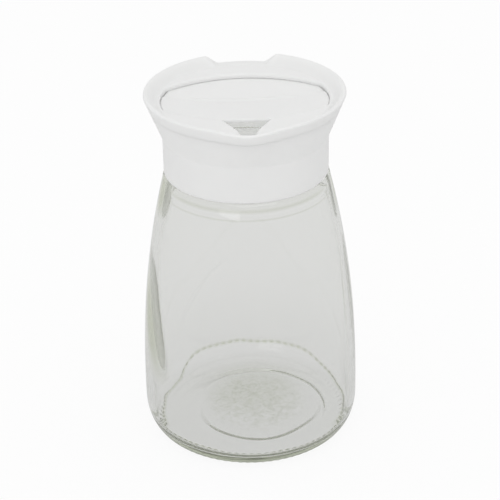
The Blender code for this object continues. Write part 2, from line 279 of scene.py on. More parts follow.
class NodeSheet:
    """A node tree, with short calls for adding and joining nodes."""

    def __init__(self, tree: bpy.types.NodeTree) -> None:
        """Keeps the tree."""
        self.tree = tree

    @classmethod
    def cleared(cls, owner: bpy.types.ID) -> "NodeSheet":
        """The sheet of a new material or world, emptied of its first nodes.

        Args:
            owner: The material or world.

        Returns:
            Its sheet.
        """
        owner.use_nodes = True
        owner.node_tree.nodes.clear()
        return cls(owner.node_tree)

    def add(self, kind: str, **values: object) -> bpy.types.Node:
        """Adds a node and sets its inputs by name, with spaces written as underscores.

        Args:
            kind: The node's type.
            values: Input values, or the node's own settings where it has no such input.

        Returns:
            The node.
        """
        node = self.tree.nodes.new(kind)
        for key, value in values.items():
            label = key.replace("_", " ")
            if label in node.inputs:
                node.inputs[label].default_value = value
            else:
                setattr(node, key, value)
        return node

    def join(self, source: bpy.types.NodeSocket, target: bpy.types.NodeSocket) -> None:
        """Links an output to an input."""
        self.tree.links.new(source, target)

    def feed(self, value: object, target: bpy.types.NodeSocket) -> None:
        """Gives an input its value.

        Args:
            value: A socket to link from, or a constant.
            target: The input.
        """
        if isinstance(value, bpy.types.NodeSocket):
            self.join(value, target)
        else:
            target.default_value = value

    def math(self, operation: str, first: object, second: object = 0.0) -> bpy.types.NodeSocket:
        """A Math node on two values, each a socket or a number.

        Args:
            operation: The node's operation.
            first: First value.
            second: Second value, where the operation has one.

        Returns:
            The result's socket.
        """
        node = self.add("ShaderNodeMath", operation=operation)
        self.feed(first, node.inputs[0])
        self.feed(second, node.inputs[1])
        return node.outputs[0]

    def vector(self, operation: str, first: object,
               second: object = (0.0, 0.0, 0.0)) -> bpy.types.Node:
        """A Vector Math node on two values, each a socket or three numbers.

        Args:
            operation: The node's operation.
            first: First value.
            second: Second value, where the operation has one.

        Returns:
            The node, for its vector or its value.
        """
        node = self.add("ShaderNodeVectorMath", operation=operation)
        self.feed(first, node.inputs[0])
        self.feed(second, node.inputs[1])
        return node

    def scaled(self, vector: object, factor: bpy.types.NodeSocket) -> bpy.types.NodeSocket:
        """A colour or vector times a factor.

        Args:
            vector: A socket or three numbers.
            factor: The factor's socket.

        Returns:
            The product's socket.
        """
        node = self.add("ShaderNodeVectorMath", operation="SCALE")
        self.feed(vector, node.inputs[0])
        self.join(factor, node.inputs["Scale"])
        return node.outputs[0]

    def ramp(self, value: bpy.types.NodeSocket, start: float, end: float,
             top: float = 1.0) -> bpy.types.NodeSocket:
        """A value brought evenly from 0 at the start to the top at the end, and held outside.

        Args:
            value: The value's socket.
            start: Value at which the result is 0.
            end: Value at which it is the top, above or below the start.
            top: The highest result.

        Returns:
            The result's socket.
        """
        node = self.add("ShaderNodeMapRange", From_Min=start, From_Max=end, To_Max=top)
        self.join(value, node.inputs["Value"])
        return node.outputs["Result"]

    def mixed(self, share: bpy.types.NodeSocket, first: bpy.types.NodeSocket,
              second: bpy.types.NodeSocket) -> bpy.types.NodeSocket:
        """Two shaders mixed: the first one where the share is 0, the second where it is 1.

        Args:
            share: The second one's share.
            first: First shader.
            second: Second shader.

        Returns:
            The mix's socket.
        """
        node = self.add("ShaderNodeMixShader")
        for source, target in zip((share, first, second), node.inputs):
            self.join(source, target)
        return node.outputs[0]

    def mark(self, mark: Mark) -> bpy.types.NodeSocket:
        """The value of one of the mesh's marks."""
        return self.add("ShaderNodeAttribute", attribute_name=mark.value).outputs["Fac"]


def new_group(name: str, inputs: dict[str, str],
              outputs: dict[str, str]) -> tuple[NodeSheet, bpy.types.Node, bpy.types.Node]:
    """A node group with its named inputs and outputs.

    Args:
        name: The group's name.
        inputs: Each input's name with its kind of socket.
        outputs: Each output's name with its kind of socket.

    Returns:
        The group's sheet, its input node and its output node.
    """
    group = bpy.data.node_groups.new(name, "ShaderNodeTree")
    for way, sockets in (("INPUT", inputs), ("OUTPUT", outputs)):
        for label, kind in sockets.items():
            group.interface.new_socket(name=label, in_out=way, socket_type=f"NodeSocket{kind}")
    sheet = NodeSheet(group)
    return sheet, sheet.add("NodeGroupInput"), sheet.add("NodeGroupOutput")


def moulded_skin() -> bpy.types.NodeTree:
    """The node group for moulded surfaces: a slow drift of tone and a fine grain.

    Its tone is the colour times 1 plus or minus the drift, its roughness is the base plus
    the grain's share, and its height is a slow flow wave plus the grain.

    Returns:
        The group, made on the first call.
    """
    name = "moulded_skin"
    if name in bpy.data.node_groups:
        return bpy.data.node_groups[name]
    sheet, given, result = new_group(
        name, {"Vector": "Vector", "Color": "Color", "Drift": "Float", "Roughness": "Float",
               "Roughness Spread": "Float", "Flow Scale": "Float", "Grain Scale": "Float",
               "Grain Share": "Float"},
        {"Color": "Color", "Roughness": "Float", "Height": "Float"})
    flow = sheet.add("ShaderNodeTexNoise", Detail=2.0)
    grain = sheet.add("ShaderNodeTexNoise", Detail=3.0)
    for noise, label in ((flow, "Flow Scale"), (grain, "Grain Scale")):
        sheet.join(given.outputs["Vector"], noise.inputs["Vector"])
        sheet.join(given.outputs[label], noise.inputs["Scale"])
    slow = sheet.math("SUBTRACT", flow.outputs[0], 0.5)
    fine = sheet.math("SUBTRACT", grain.outputs[0], 0.5)
    tone = sheet.math("ADD", sheet.math("MULTIPLY", slow, given.outputs["Drift"]), 1.0)
    sheet.join(sheet.scaled(given.outputs["Color"], tone), result.inputs["Color"])
    rougher = sheet.math("MULTIPLY", fine, given.outputs["Roughness Spread"])
    sheet.join(sheet.math("ADD", rougher, given.outputs["Roughness"]), result.inputs["Roughness"])
    grainy = sheet.math("MULTIPLY", fine, given.outputs["Grain Share"])
    sheet.join(sheet.math("ADD", grainy, slow), result.inputs["Height"])
    return sheet.tree


def new_material(name: str) -> tuple[bpy.types.Material, NodeSheet, bpy.types.Node]:
    """An empty material with its Principled shader joined to its output.

    Args:
        name: The material's name.

    Returns:
        The material, its sheet of nodes and its shader.
    """
    material = bpy.data.materials.new(name)
    sheet = NodeSheet.cleared(material)
    output = sheet.add("ShaderNodeOutputMaterial")
    shader = sheet.add("ShaderNodeBsdfPrincipled")
    sheet.join(shader.outputs[0], output.inputs["Surface"])
    return material, sheet, shader


@dataclass(frozen=True)
class ChamberGlow:
    """The painted glow on the faces that line the lid's pouring chamber, standing for the light
    that comes through the thin milky walls, picked out by a node group.
    """

    inset: float = 1.1 * MM
    roof_gap: float = 0.1 * MM
    fade: float = 10.0 * MM

    def make(self) -> bpy.types.NodeTree:
        """The group, whose colour is the glow inside the chamber and black outside it.

        Inside is where the radius is less than the chamber's, which widens with height
        above the crease. The glow fades evenly in height towards the roof.

        Returns:
            The group, made on the first call.
        """
        name = "chamber_lining"
        if name in bpy.data.node_groups:
            return bpy.data.node_groups[name]
        shape = LidShape()
        sheet, given, result = new_group(name, {"Vector": "Vector", "Glow": "Float"},
                                         {"Color": "Color"})
        parts = sheet.add("ShaderNodeSeparateXYZ")
        sheet.join(given.outputs["Vector"], parts.inputs[0])
        height = parts.outputs["Z"]
        square = sheet.math("ADD", sheet.math("POWER", parts.outputs["X"], 2.0),
                            sheet.math("POWER", parts.outputs["Y"], 2.0))
        rise = sheet.math("MAXIMUM", sheet.math("SUBTRACT", height, shape.crease_height), 0.0)
        wall = sheet.math("MULTIPLY", rise, shape.flare_spread / shape.flare_height)
        wall = sheet.math("ADD", wall, shape.skirt_radius - self.inset)
        within = sheet.math("LESS_THAN", sheet.math("SQRT", square), wall)
        roof = shape.underside - self.roof_gap
        lit = sheet.math("MULTIPLY", within, sheet.ramp(height, roof, roof - self.fade))
        sheet.join(sheet.math("MULTIPLY", lit, given.outputs["Glow"]), result.inputs["Color"])
        return sheet.tree


@dataclass(frozen=True)
class Skin:
    """How a moulded surface varies in tone and roughness, and how deep its relief is."""

    color: tuple[float, float, float]
    drift: float
    roughness: float
    roughness_spread: float
    flow_scale: float
    grain_scale: float
    grain_share: float
    relief: float

    def lay(self, sheet: NodeSheet, shader: bpy.types.Node,
            place: bpy.types.NodeSocket) -> bpy.types.Node:
        """Adds the skin group to a material and joins its relief to the shader.

        Args:
            sheet: The material's nodes.
            shader: Its shader.
            place: Its object coordinates.

        Returns:
            The group's node, for its colour and roughness.
        """
        skin = sheet.add("ShaderNodeGroup", node_tree=moulded_skin())
        for label, value in (("Color", (*self.color, 1.0)), ("Drift", self.drift),
                             ("Roughness", self.roughness),
                             ("Roughness Spread", self.roughness_spread),
                             ("Flow Scale", self.flow_scale), ("Grain Scale", self.grain_scale),
                             ("Grain Share", self.grain_share)):
            skin.inputs[label].default_value = value
        bump = sheet.add("ShaderNodeBump", Strength=1.0, Distance=self.relief)
        sheet.join(place, skin.inputs["Vector"])
        sheet.join(skin.outputs["Height"], bump.inputs["Height"])
        sheet.join(bump.outputs[0], shader.inputs["Normal"])
        return skin


@dataclass(frozen=True)
class MouldedPlastic:
    """White satin plastic straight from the mould."""

    name: str
    glows_in_chamber: bool = False
    skin: Skin = Skin(color=(0.89, 0.892, 0.886), drift=0.03, roughness=0.36,
                      roughness_spread=0.10, flow_scale=45.0, grain_scale=2600.0,
                      grain_share=0.25, relief=0.02 * MM)
    index: float = 1.49
    milkiness: float = 0.3
    milk_depth: float = 1.8 * MM
    chamber_glow: float = 0.36

    def make(self) -> bpy.types.Material:
        """The material, with the skin group in front of its shader.

        A faint glow on the faces that line the pouring chamber stands for the daylight
        that comes through the thin milky walls.

        Returns:
            The material.
        """
        material, sheet, shader = new_material(self.name)
        place = sheet.add("ShaderNodeTexCoord").outputs["Object"]
        skin = self.skin.lay(sheet, shader, place)
        sheet.join(skin.outputs["Color"], shader.inputs["Base Color"])
        sheet.join(skin.outputs["Roughness"], shader.inputs["Roughness"])
        for label, value in (("IOR", self.index), ("Subsurface Weight", self.milkiness),
                             ("Subsurface Radius", (1.0, 1.0, 1.0)),
                             ("Subsurface Scale", self.milk_depth)):
            shader.inputs[label].default_value = value
        # Painted light: the chamber's faces glow in place of light through the thin milky walls.
        if self.glows_in_chamber:
            glow_mask = sheet.add("ShaderNodeGroup", node_tree=ChamberGlow().make())
            glow_mask.inputs["Glow"].default_value = self.chamber_glow
            sheet.join(place, glow_mask.inputs["Vector"])
            sheet.join(glow_mask.outputs["Color"], shader.inputs["Emission Color"])
            shader.inputs["Emission Strength"].default_value = 1.0
        return material


@dataclass(frozen=True)
class RoundPatch:
    """A round patch on the jar's floor, full inside one radius and gone outside another."""

    center: tuple[float, float, float]
    outer: float
    inner: float
    share: float

    def spread(self, sheet: NodeSheet, place: bpy.types.NodeSocket) -> bpy.types.NodeSocket:
        """The patch's share, by a ramp in the distance from the upright line at its center.

        Args:
            sheet: The material's nodes.
            place: Its object coordinates.

        Returns:
            The share's socket.
        """
        shifted = sheet.vector("SUBTRACT", place, self.center)
        level = sheet.vector("MULTIPLY", shifted.outputs[0], (1.0, 1.0, 0.0))
        distance = sheet.vector("LENGTH", level.outputs[0]).outputs["Value"]
        return sheet.ramp(distance, self.outer, self.inner, self.share)


@dataclass(frozen=True)
class ClearGlass:
    """Clear soda glass with a faint green body tint and a fire-polished skin."""

    name: str
    skin: Skin = Skin(color=(1.0, 1.0, 1.0), drift=0.0, roughness=0.012, roughness_spread=0.01,
                      flow_scale=55.0, grain_scale=700.0, grain_share=0.02, relief=0.05 * MM)
    index: float = 1.51
    tint: tuple[float, float, float] = (0.50, 0.55, 0.36)
    density: float = 18.0
    trapped_gain: float = 0.25
    trapped_roughness: float = 0.5
    trapped_after: float = 2.5
    trapped_light: tuple[float, float, float] = (0.065, 0.065, 0.061)
    painted_shade_loss: tuple[float, float, float] = (0.63, 0.58, 0.80)
    shade_arc_band: tuple[float, float] = (99.0 * MM, 107.0 * MM)
    shade_arc_stops: tuple[tuple[float, float], ...] = ((0.0, 0.0), (0.36, 0.0), (0.43, 0.3),
                                                  (0.50, 0.0), (0.7, 0.0), (0.84, 0.4),
                                                  (0.98, 0.1))
    shade_arc_front: tuple[float, float] = (-8.0 * MM, -20.0 * MM)
    floor_band: tuple[float, float] = (7.0 * MM, 5.5 * MM)
    mottle: RoundPatch = RoundPatch((2.0 * MM, 3.0 * MM, 0.0), 21.0 * MM, 15.0 * MM, 0.2)
    mottle_scale: float = 190.0
    mottle_detail: float = 2.0
    mottle_distortion: float = 2.5
    mottle_band: tuple[float, float] = (0.45, 0.62)
    shade_cloud: RoundPatch = RoundPatch((1.0 * MM, 12.0 * MM, 0.0), 22.0 * MM, 9.0 * MM, 0.16)

    def painted_glass_shade(self, sheet: NodeSheet, place: bpy.types.NodeSocket) -> bpy.types.NodeSocket:
        """How much painted shade takes off the glass's colour, from 0 to 1.

        It is the mesh's fold shade mark, plus its streak shade mark as far as light meets the
        glass at a slant and so goes a longer way through it, plus two arcs of painted shade round
        the front of the shoulder, standing for the dark lines of its reflection, by a colour ramp
        in the height, on the outer face alone, plus a cloud of painted shade and a mottling on the
        floor. Along the fold and the streaks the darkening stands partly for the deeper tint of
        thick glass and partly is painted shade for the dark lines that refraction draws there.
        The mottling is noise over a threshold.

        Args:
            sheet: The material's nodes.
            place: Its object coordinates.

        Returns:
            The sum's socket.
        """
        parts = sheet.add("ShaderNodeSeparateXYZ")
        sheet.join(place, parts.inputs[0])
        height = parts.outputs["Z"]
        # Two arcs of painted shade round the front of the shoulder, for the dark lines of its
        # reflection.
        arcs = sheet.add("ShaderNodeValToRGB")
        sheet.join(sheet.ramp(height, *self.shade_arc_band), arcs.inputs["Fac"])
        stops = arcs.color_ramp.elements
        while len(stops) < len(self.shade_arc_stops):
            stops.new(0.5)
        for stop, (position, value) in zip(stops, self.shade_arc_stops):
            stop.position = position
            stop.color = (value, value, value, 1.0)
        front = sheet.ramp(parts.outputs["Y"], *self.shade_arc_front)
        shoulder = sheet.math("MULTIPLY", front, arcs.outputs["Color"])
        shoulder = sheet.math("MULTIPLY", shoulder, sheet.mark(Mark.OUTER))
        noise = sheet.add("ShaderNodeTexNoise", Scale=self.mottle_scale,
                          Detail=self.mottle_detail, Distortion=self.mottle_distortion)
        sheet.join(place, noise.inputs["Vector"])
        mottled = sheet.ramp(noise.outputs[0], *self.mottle_band)
        floor = sheet.math("MULTIPLY", mottled, self.mottle.spread(sheet, place))
        # A cloud of painted shade on the jar's floor, towards the back.
        floor = sheet.math("ADD", floor, self.shade_cloud.spread(sheet, place))
        floor = sheet.math("MULTIPLY", sheet.ramp(height, *self.floor_band), floor)
        # Painted shade along the streaks, strongest where the glass is met at a slant.
        grazing = sheet.add("ShaderNodeLayerWeight", Blend=0.5)
        slanted = sheet.math("MULTIPLY", sheet.mark(Mark.STREAK_SHADE), grazing.outputs["Facing"])
        # Painted shade along the fold, plus that of the streaks.
        wall = sheet.math("ADD", sheet.mark(Mark.FOLD_SHADE), slanted)
        return sheet.math("ADD", wall, sheet.math("ADD", shoulder, floor))

    def make(self) -> bpy.types.Material:
        """The material: refraction at the surface and absorption inside.

        A ray that was reflected inside the glass more than once meets a rougher skin at
        each further reflection, so that its light finds a way out, and from the third one
        on the skin returns a little light in place of what the long way round would bring.
        Where the painted shade lies, partly the deeper tint of thick glass and partly the dark
        lines that refraction draws, the loss comes off the colour.

        Returns:
            The material.
        """
        material, sheet, shader = new_material(self.name)
        output = material.node_tree.nodes["Material Output"]
        body = sheet.add("ShaderNodeVolumeAbsorption", Color=(*self.tint, 1.0),
                         Density=self.density)
        sheet.join(body.outputs[0], output.inputs["Volume"])
        place = sheet.add("ShaderNodeTexCoord").outputs["Object"]
        skin = self.skin.lay(sheet, shader, place)
        depth = sheet.add("ShaderNodeLightPath").outputs["Glossy Depth"]
        deeper = sheet.math("MULTIPLY", sheet.math("SUBTRACT", depth, 1.0), self.trapped_gain)
        deeper = sheet.math("MAXIMUM", deeper, 0.0)
        spread = sheet.math("MINIMUM", deeper, self.trapped_roughness)
        trapped = sheet.math("GREATER_THAN", depth, self.trapped_after)
        sheet.join(sheet.scaled(self.trapped_light, trapped), shader.inputs["Emission Color"])
        # Painted shade: the summed darkening comes off the glass's colour.
        loss = sheet.scaled(self.painted_shade_loss, self.painted_glass_shade(sheet, place))
        color = sheet.vector("SUBTRACT", skin.outputs["Color"], loss)
        sheet.join(color.outputs[0], shader.inputs["Base Color"])
        rougher = sheet.math("ADD", skin.outputs["Roughness"], spread)
        sheet.join(rougher, shader.inputs["Roughness"])
        for label, value in (("Emission Strength", 1.0), ("IOR", self.index),
                             ("Transmission Weight", 1.0)):
            shader.inputs[label].default_value = value
        return material


@dataclass(frozen=True)
class Streak:
    """A long streak of thicker glass on the jar's inner wall; its angles are in degrees."""

    angle: float
    width: float
    depth: float
    low: float
    high: float
    lean: float = 0.0

    def swell(self, degrees: np.ndarray, height: np.ndarray) -> np.ndarray:
        """Depth of the streak: a bell curve in the angle times a parabola in the height.

        Args:
            degrees: Angles from +X.
            height: Heights above the ground.

        Returns:
            The depth at each place.
        """
        share = np.clip((height - self.low) / (self.high - self.low), 0.0, 1.0)
        middle = self.angle + self.lean * (0.5 - share)
        return (self.depth * 4.0 * share * (1.0 - share)
                * bell_curve(degrees, middle, self.width))


@dataclass
class GlassJar:
    """The bell-shaped jar: pressed base with a ribbed bearing ring, wall, neck and mouth.

    The fold's angles are in degrees from +X: where its climb starts and where its descent
    ends, each with how long it is, and the middle and width of its bulge.
    """

    bearing_radius: float = 34.4 * MM
    bearing_width: float = 3.5 * MM
    disc_radius: float = 22.6 * MM
    disc_height: float = 0.35 * MM
    disc_step: float = 0.45 * MM
    disc_slope: float = 2.0 * MM
    disc_drift: float = 0.6 * MM
    disc_waves: Waves = ((1.0, 3.0, 1.0), (0.6, 5.0, 2.5))
    disc_edge: float = 4.0 * MM
    disc_offset: tuple[float, float] = (3.0 * MM, 1.5 * MM)
    disc_hold: tuple[float, float] = (30.5 * MM, 6.0 * MM)
    base_roundings: tuple[float, ...] = (0.5 * MM, 0.5 * MM, 1.4 * MM)
    base_step: float = 0.9 * MM
    heel_height: float = 12.4 * MM
    belly_radius: float = 41.5 * MM
    belly_height: float = 15.0 * MM
    shoulder_height: float = 108.2 * MM
    shoulder_radius: float = 30.8 * MM
    bell_power: float = 2.2
    neck_radius: float = 27.9 * MM
    neck_height: float = 12.8 * MM
    neck_root: float = 0.8 * MM
    throat_drops: tuple[float, float] = (0.6 * MM, 2.0 * MM)
    throat_rounding: float = 0.8 * MM
    throat_step: float = 4.0 * MM
    wall: float = 3.0 * MM
    thin_wall: float = 2.5 * MM
    floor: float = 4.5 * MM
    floor_fillet: float = 4.0 * MM
    corner_drift: float = 0.15 * MM
    corner_waves: Waves = ((1.0, 2.0, 0.6), (0.7, 3.0, 2.1), (0.4, 7.0, 4.0))
    corner_reach: tuple[float, float] = (7.0 * MM, 10.0 * MM)
    ripple: float = 0.035 * MM
    ripple_pitch: float = 11.0 * MM
    ripple_hold: tuple[float, float] = (8.0 * MM, 12.0 * MM)
    streaks: tuple[Streak, ...] = (Streak(197.0, 9.0, 1.25 * MM, 27.0 * MM, 74.0 * MM, 24.0),
                                   Streak(190.0, 8.5, 1.3 * MM, 92.0 * MM, 112.0 * MM),
                                   Streak(353.0, 4.5, 1.0 * MM, 91.0 * MM, 112.0 * MM, -6.0),
                                   Streak(354.0, 4.0, 0.7 * MM, 38.0 * MM, 78.0 * MM))
    streak_shade_gain: float = 0.95 / MM
    fold_height: float = 0.85 * MM
    fold_width: float = 0.4 * MM
    fold_window: float = 1.1 * MM
    fold_reach: tuple[float, float] = (-7.0 * MM, 17.0 * MM)
    fold_aside: float = 0.3
    fold_limit: float = 18.0 * MM
    fold_rest: float = -3.3 * MM
    fold_rise: float = 12.0 * MM
    fold_climb: tuple[float, float] = (5.0, 70.0)
    fold_descent: tuple[float, float] = (146.0, 26.0)
    fold_crest: float = 0.8
    fold_crest_power: int = 8
    fold_bulge: float = 2.5 * MM
    fold_bulge_place: tuple[float, float] = (8.0, 22.0)
    fold_waves: Waves = ((0.35 * MM, 7.0, 1.0), (0.2 * MM, 16.0, 0.0))
    fold_dots: float = 0.4
    fold_shade_depth: float = 0.75
    shade_dots: float = 0.25
    shade_spread: float = 2.1
    bead_reach: float = 0.6 * MM
    bead_rise: float = 4.0 * MM
    bead_width: float = 0.7 * MM
    ribs: int = 80
    rib_height: float = 0.18 * MM
    rib_inner: float = 35.0 * MM
    rib_outer: float = 38.6 * MM
    rib_fade: float = 1.2 * MM
    ring_radii: tuple[float, float] = (13.5 * MM, 17.0 * MM)
    ring_height: float = 0.07 * MM
    ring_width: float = 0.7 * MM
    ring_drift: float = 0.4
    columns: int = 400

    def bell(self, height: np.ndarray) -> np.ndarray:
        """Outer radius above the belly: belly minus its drop times the height share's power.

        Args:
            height: Heights above the ground.

        Returns:
            The radius at each height.
        """
        share = (height - self.belly_height) / (self.shoulder_height - self.belly_height)
        drop = self.belly_radius - self.shoulder_radius
        return self.belly_radius - drop * np.clip(share, 0.0, 1.0) ** self.bell_power

    def inner_bell(self, height: np.ndarray) -> np.ndarray:
        """Inner radius: the outer less a wall that thickens evenly towards the shoulder."""
        share = np.clip(height / self.shoulder_height, 0.0, 1.0)
        return self.bell(height) - self.thin_wall - (self.wall - self.thin_wall) * share

    def outside(self) -> np.ndarray:
        """Half-section from the base's center out and up to the mouth's rolled edge.

        Returns:
            Rows of radius and height; the first lies on the axis.
        """
        bearing_inner = self.bearing_radius - self.bearing_width
        base = softened([(0.0, self.disc_height), (self.disc_radius, self.disc_height),
                         (self.disc_radius + self.disc_slope, self.disc_height + self.disc_step),
                         (bearing_inner, 0.0), (self.bearing_radius, 0.0)],
                        self.base_roundings, 4)
        heel = arc((self.bearing_radius, self.heel_height),
                   (self.belly_radius - self.bearing_radius, self.heel_height), -90.0, 0.0, 28)
        height = np.linspace(self.belly_height, self.shoulder_height, 32)
        bell = np.stack([self.bell(height), height], axis=1)
        root = self.neck_root
        neck = arc((self.neck_radius + root, self.shoulder_height + root), (root, root),
                   270.0, 180.0, 4)
        bead = self.shoulder_height + self.bead_rise
        rise = np.linspace(bead - 2.5 * self.bead_width, bead + 2.5 * self.bead_width, 11)
        swell = self.bead_reach * bell_curve(rise, bead, self.bead_width)
        ring = np.stack([self.neck_radius + swell, rise], axis=1)
        half = self.wall / 2.0
        roll = arc((self.neck_radius - half, self.shoulder_height + self.neck_height - half),
                   (half, half), 0.0, 180.0, 10)
        return np.concatenate([subdivided(base, self.base_step), heel[1:], bell, neck, ring,
                               roll])

    def inside(self, angles: np.ndarray) -> np.ndarray:
        """The inner surface, from the mouth down to the middle of the floor.

        Near the base its rows crowd round the fold's course: they are placed by run, the
        height above the floor plus the radius less the wall's, with a share of them aside
        of the fold's window above and below and the rest in it.

        Args:
            angles: Angles of the columns.

        Returns:
            Points as rows by angles by XYZ; the last row lies on the axis.
        """
        bore = self.neck_radius - self.wall
        mouth = self.shoulder_height + self.neck_height - self.wall / 2.0
        bore_foot, bell_top = (self.shoulder_height - drop for drop in self.throat_drops)
        foot = self.floor + self.floor_fillet
        inner = self.belly_radius - self.thin_wall
        low, high = self.fold_reach
        height = np.linspace(bell_top, self.floor + high, 26)
        wall = np.stack([self.inner_bell(height), height], axis=1)
        throat = softened([(bore, mouth), (bore, bore_foot), tuple(wall[0])],
                          (self.throat_rounding,), 6)
        upper = np.concatenate([subdivided(throat, self.throat_step)[1:-1], wall[:-1]])
        height = np.linspace(self.floor + high, foot, 60)
        fillet = arc((inner - self.floor_fillet, foot), (self.floor_fillet, self.floor_fillet),
                     0.0, -90.0, 40)
        section = np.concatenate([np.stack([self.inner_bell(height), height], axis=1)[:-1],
                                  fillet, [[inner + low, self.floor]]])
        run = section[:, 1] - self.floor + section[:, 0] - inner
        course = self.fold_course(angles)
        window, aside = self.fold_window, self.fold_aside
        share = np.linspace(1.0, 0.0, 42)[:, None]
        level = np.select([share < aside, share < 1.0 - aside],
                          [low + (course - window - low) * share / aside,
                           course + window * (share - 0.5) / (0.5 - aside)],
                          course + window
                          + (high - course - window) * (share - 1.0 + aside) / aside)
        radius = np.interp(level, run[::-1], section[::-1, 0])
        height = np.interp(level, run[::-1], section[::-1, 1])
        lower = np.stack([radius * np.cos(angles), radius * np.sin(angles), height], axis=-1)
        flat = np.linspace(inner + low, 0.0, 20)[1:]
        floor = turned(np.stack([flat, np.full(len(flat), self.floor)], axis=1), angles)
        return np.concatenate([turned(upper, angles), lower, floor])

    def fold_course(self, angles: np.ndarray) -> np.ndarray:
        """Where the fold runs at each angle, as its run along the inner surface.

        It lies just inside the wall in front and climbs the wall behind, by a product of
        two smooth steps in the angle that is held softly under a crest, and bulges to the
        right by a bell curve. Two sine waves make it wander.

        Args:
            angles: Angles from +X.

        Returns:
            The run at each angle.
        """
        degrees = np.degrees(angles)
        right = np.where(degrees > 180.0, degrees - 360.0, degrees)
        (start, climbing), (end, descending) = self.fold_climb, self.fold_descent
        climb = (smooth_step((degrees - start) / climbing)
                 * smooth_step((end - degrees) / descending))
        power = self.fold_crest_power
        climb = climb / (1.0 + (climb / self.fold_crest) ** power) ** (1.0 / power)
        return (self.fold_rest + self.fold_rise * climb
                + self.fold_bulge * bell_curve(right, *self.fold_bulge_place)
                + wandering(angles, self.fold_waves))

    def off_fold(self, points: np.ndarray, angles: np.ndarray) -> tuple[np.ndarray, np.ndarray]:
        """How high points of the inside lie above the floor, and how far off the fold.

        The second is the point's run, its lift plus its radius less the wall's, less the
        run of the fold's course.

        Args:
            points: Grid of the inside by angles by XYZ.
            angles: Angles of the columns.

        Returns:
            The lifts and the distances, by rows and columns.
        """
        lift = points[..., 2] - self.floor
        radius = np.hypot(points[..., 0], points[..., 1])
        run = lift + radius - (self.belly_radius - self.thin_wall)
        return lift, run - self.fold_course(angles)

    def dotted(self, angles: np.ndarray, depth: float) -> np.ndarray:
        """Dots round the base: 1 less the depth, less the depth times the ribs' cosine."""
        return 1.0 - depth - depth * np.cos(self.ribs * angles)

    def press_ribs(self, points: np.ndarray, angles: np.ndarray) -> None:
        """Presses radial ribs into the heel's foot and two faint rings into the base.

        A rib's depth is half its height times 1 minus the cosine of the rib count times
        the angle, faded in and out across the heel's foot. A ring is a bell curve in the
        radius whose height drifts with three times the angle. The disc's edge wanders in
        radius by two sine waves, and the whole disc lies off the middle, by a smooth step
        that ends inside the bearing ring.

        Args:
            points: Grid of the outside by angles by XYZ, changed in place.
            angles: Angles of the columns.
        """
        radius = np.hypot(points[..., 0], points[..., 1])
        under = points[..., 2] < self.heel_height / 2.0
        edge = bell_curve(radius, self.disc_radius, self.disc_edge)
        drift = self.disc_drift * wandering(angles, self.disc_waves)
        points[..., :2] *= np.where(under, 1.0 + drift * edge / self.disc_radius, 1.0)[..., None]
        fade = (smooth_step((radius - self.rib_inner) / self.rib_fade)
                * smooth_step((self.rib_outer - radius) / self.rib_fade))
        wave = 0.5 * self.rib_height * (1.0 - np.cos(self.ribs * angles))
        points[..., 2] += np.where(under, wave * fade, 0.0)
        for number, ring in enumerate(self.ring_radii):
            swell = self.ring_height * bell_curve(radius, ring, self.ring_width)
            drift = 1.0 - self.ring_drift + self.ring_drift * np.sin(3.0 * angles + 2.0 * number)
            points[..., 2] -= np.where(under, swell * drift, 0.0)
        end, length = self.disc_hold
        held = np.where(under, smooth_step((end - radius) / length), 0.0)
        points[..., :2] += np.array(self.disc_offset) * held[..., None]

    def drift_inside(self, points: np.ndarray, angles: np.ndarray) -> None:
        """Lets the inner surface drift as blown glass does.

        The corner's height moves by a few sine waves, faded away from the corner by bell
        curves, and the wall's radius ripples by two sines of 3 and 5 times the angle that
        wind slowly up the jar. The streaks stand out from the wall.

        Args:
            points: Grid of the inside by angles by XYZ, changed in place.
            angles: Angles of the columns.
        """
        radius = np.hypot(points[..., 0], points[..., 1])
        height = points[..., 2]
        corner = self.belly_radius - self.thin_wall
        across, up = self.corner_reach
        near = bell_curve(radius, corner, across) * bell_curve(height, self.floor, up)
        winding = height / self.ripple_pitch
        ripple = np.sin(3.0 * angles + winding) + np.sin(5.0 * angles - 0.7 * winding + 1.0)
        end, length = self.ripple_hold
        held = smooth_step((self.shoulder_height - end - height) / length)
        scale = 1.0 + self.ripple * ripple * held * smooth_step(radius / corner) / corner
        for streak in self.streaks:
            scale -= streak.swell(np.degrees(angles), height) / corner
        points[..., :2] *= scale[..., None]
        points[..., 2] += self.corner_drift * wandering(angles, self.corner_waves) * near

    def raise_fold(self, points: np.ndarray, angles: np.ndarray) -> None:
        """Raises the dotted fold round the inside of the base.

        Its height is a bell curve in the distance from the fold's course, cut into dots.

        Args:
            points: Grid of the inside by angles by XYZ, changed in place.
            angles: Angles of the columns.
        """
        radius = np.hypot(points[..., 0], points[..., 1])
        lift, off = self.off_fold(points, angles)
        swell = (self.fold_height * bell_curve(off, 0.0, self.fold_width)
                 * self.dotted(angles, self.fold_dots))
        swell = np.where(lift < self.fold_limit, swell, 0.0)
        upright = smooth_step(lift / self.floor_fillet)
        points[..., :2] *= (1.0 - swell * upright / np.maximum(radius, MM))[..., None]
        points[..., 2] += swell * (1.0 - upright)

    def streaked(self, points: np.ndarray, angles: np.ndarray) -> np.ndarray:
        """The streaks' painted shade at each point of a grid, partly the deeper tint of their
        thicker glass and partly the dark surroundings that they refract: their depth times a gain,
        up to 1.

        Args:
            points: Grid of rows by angles by XYZ.
            angles: Angles of the columns.

        Returns:
            The stain, by rows and columns.
        """
        degrees = np.degrees(angles)
        depth = sum(streak.swell(degrees, points[..., 2]) for streak in self.streaks)
        return np.minimum(self.streak_shade_gain * depth, 1.0)

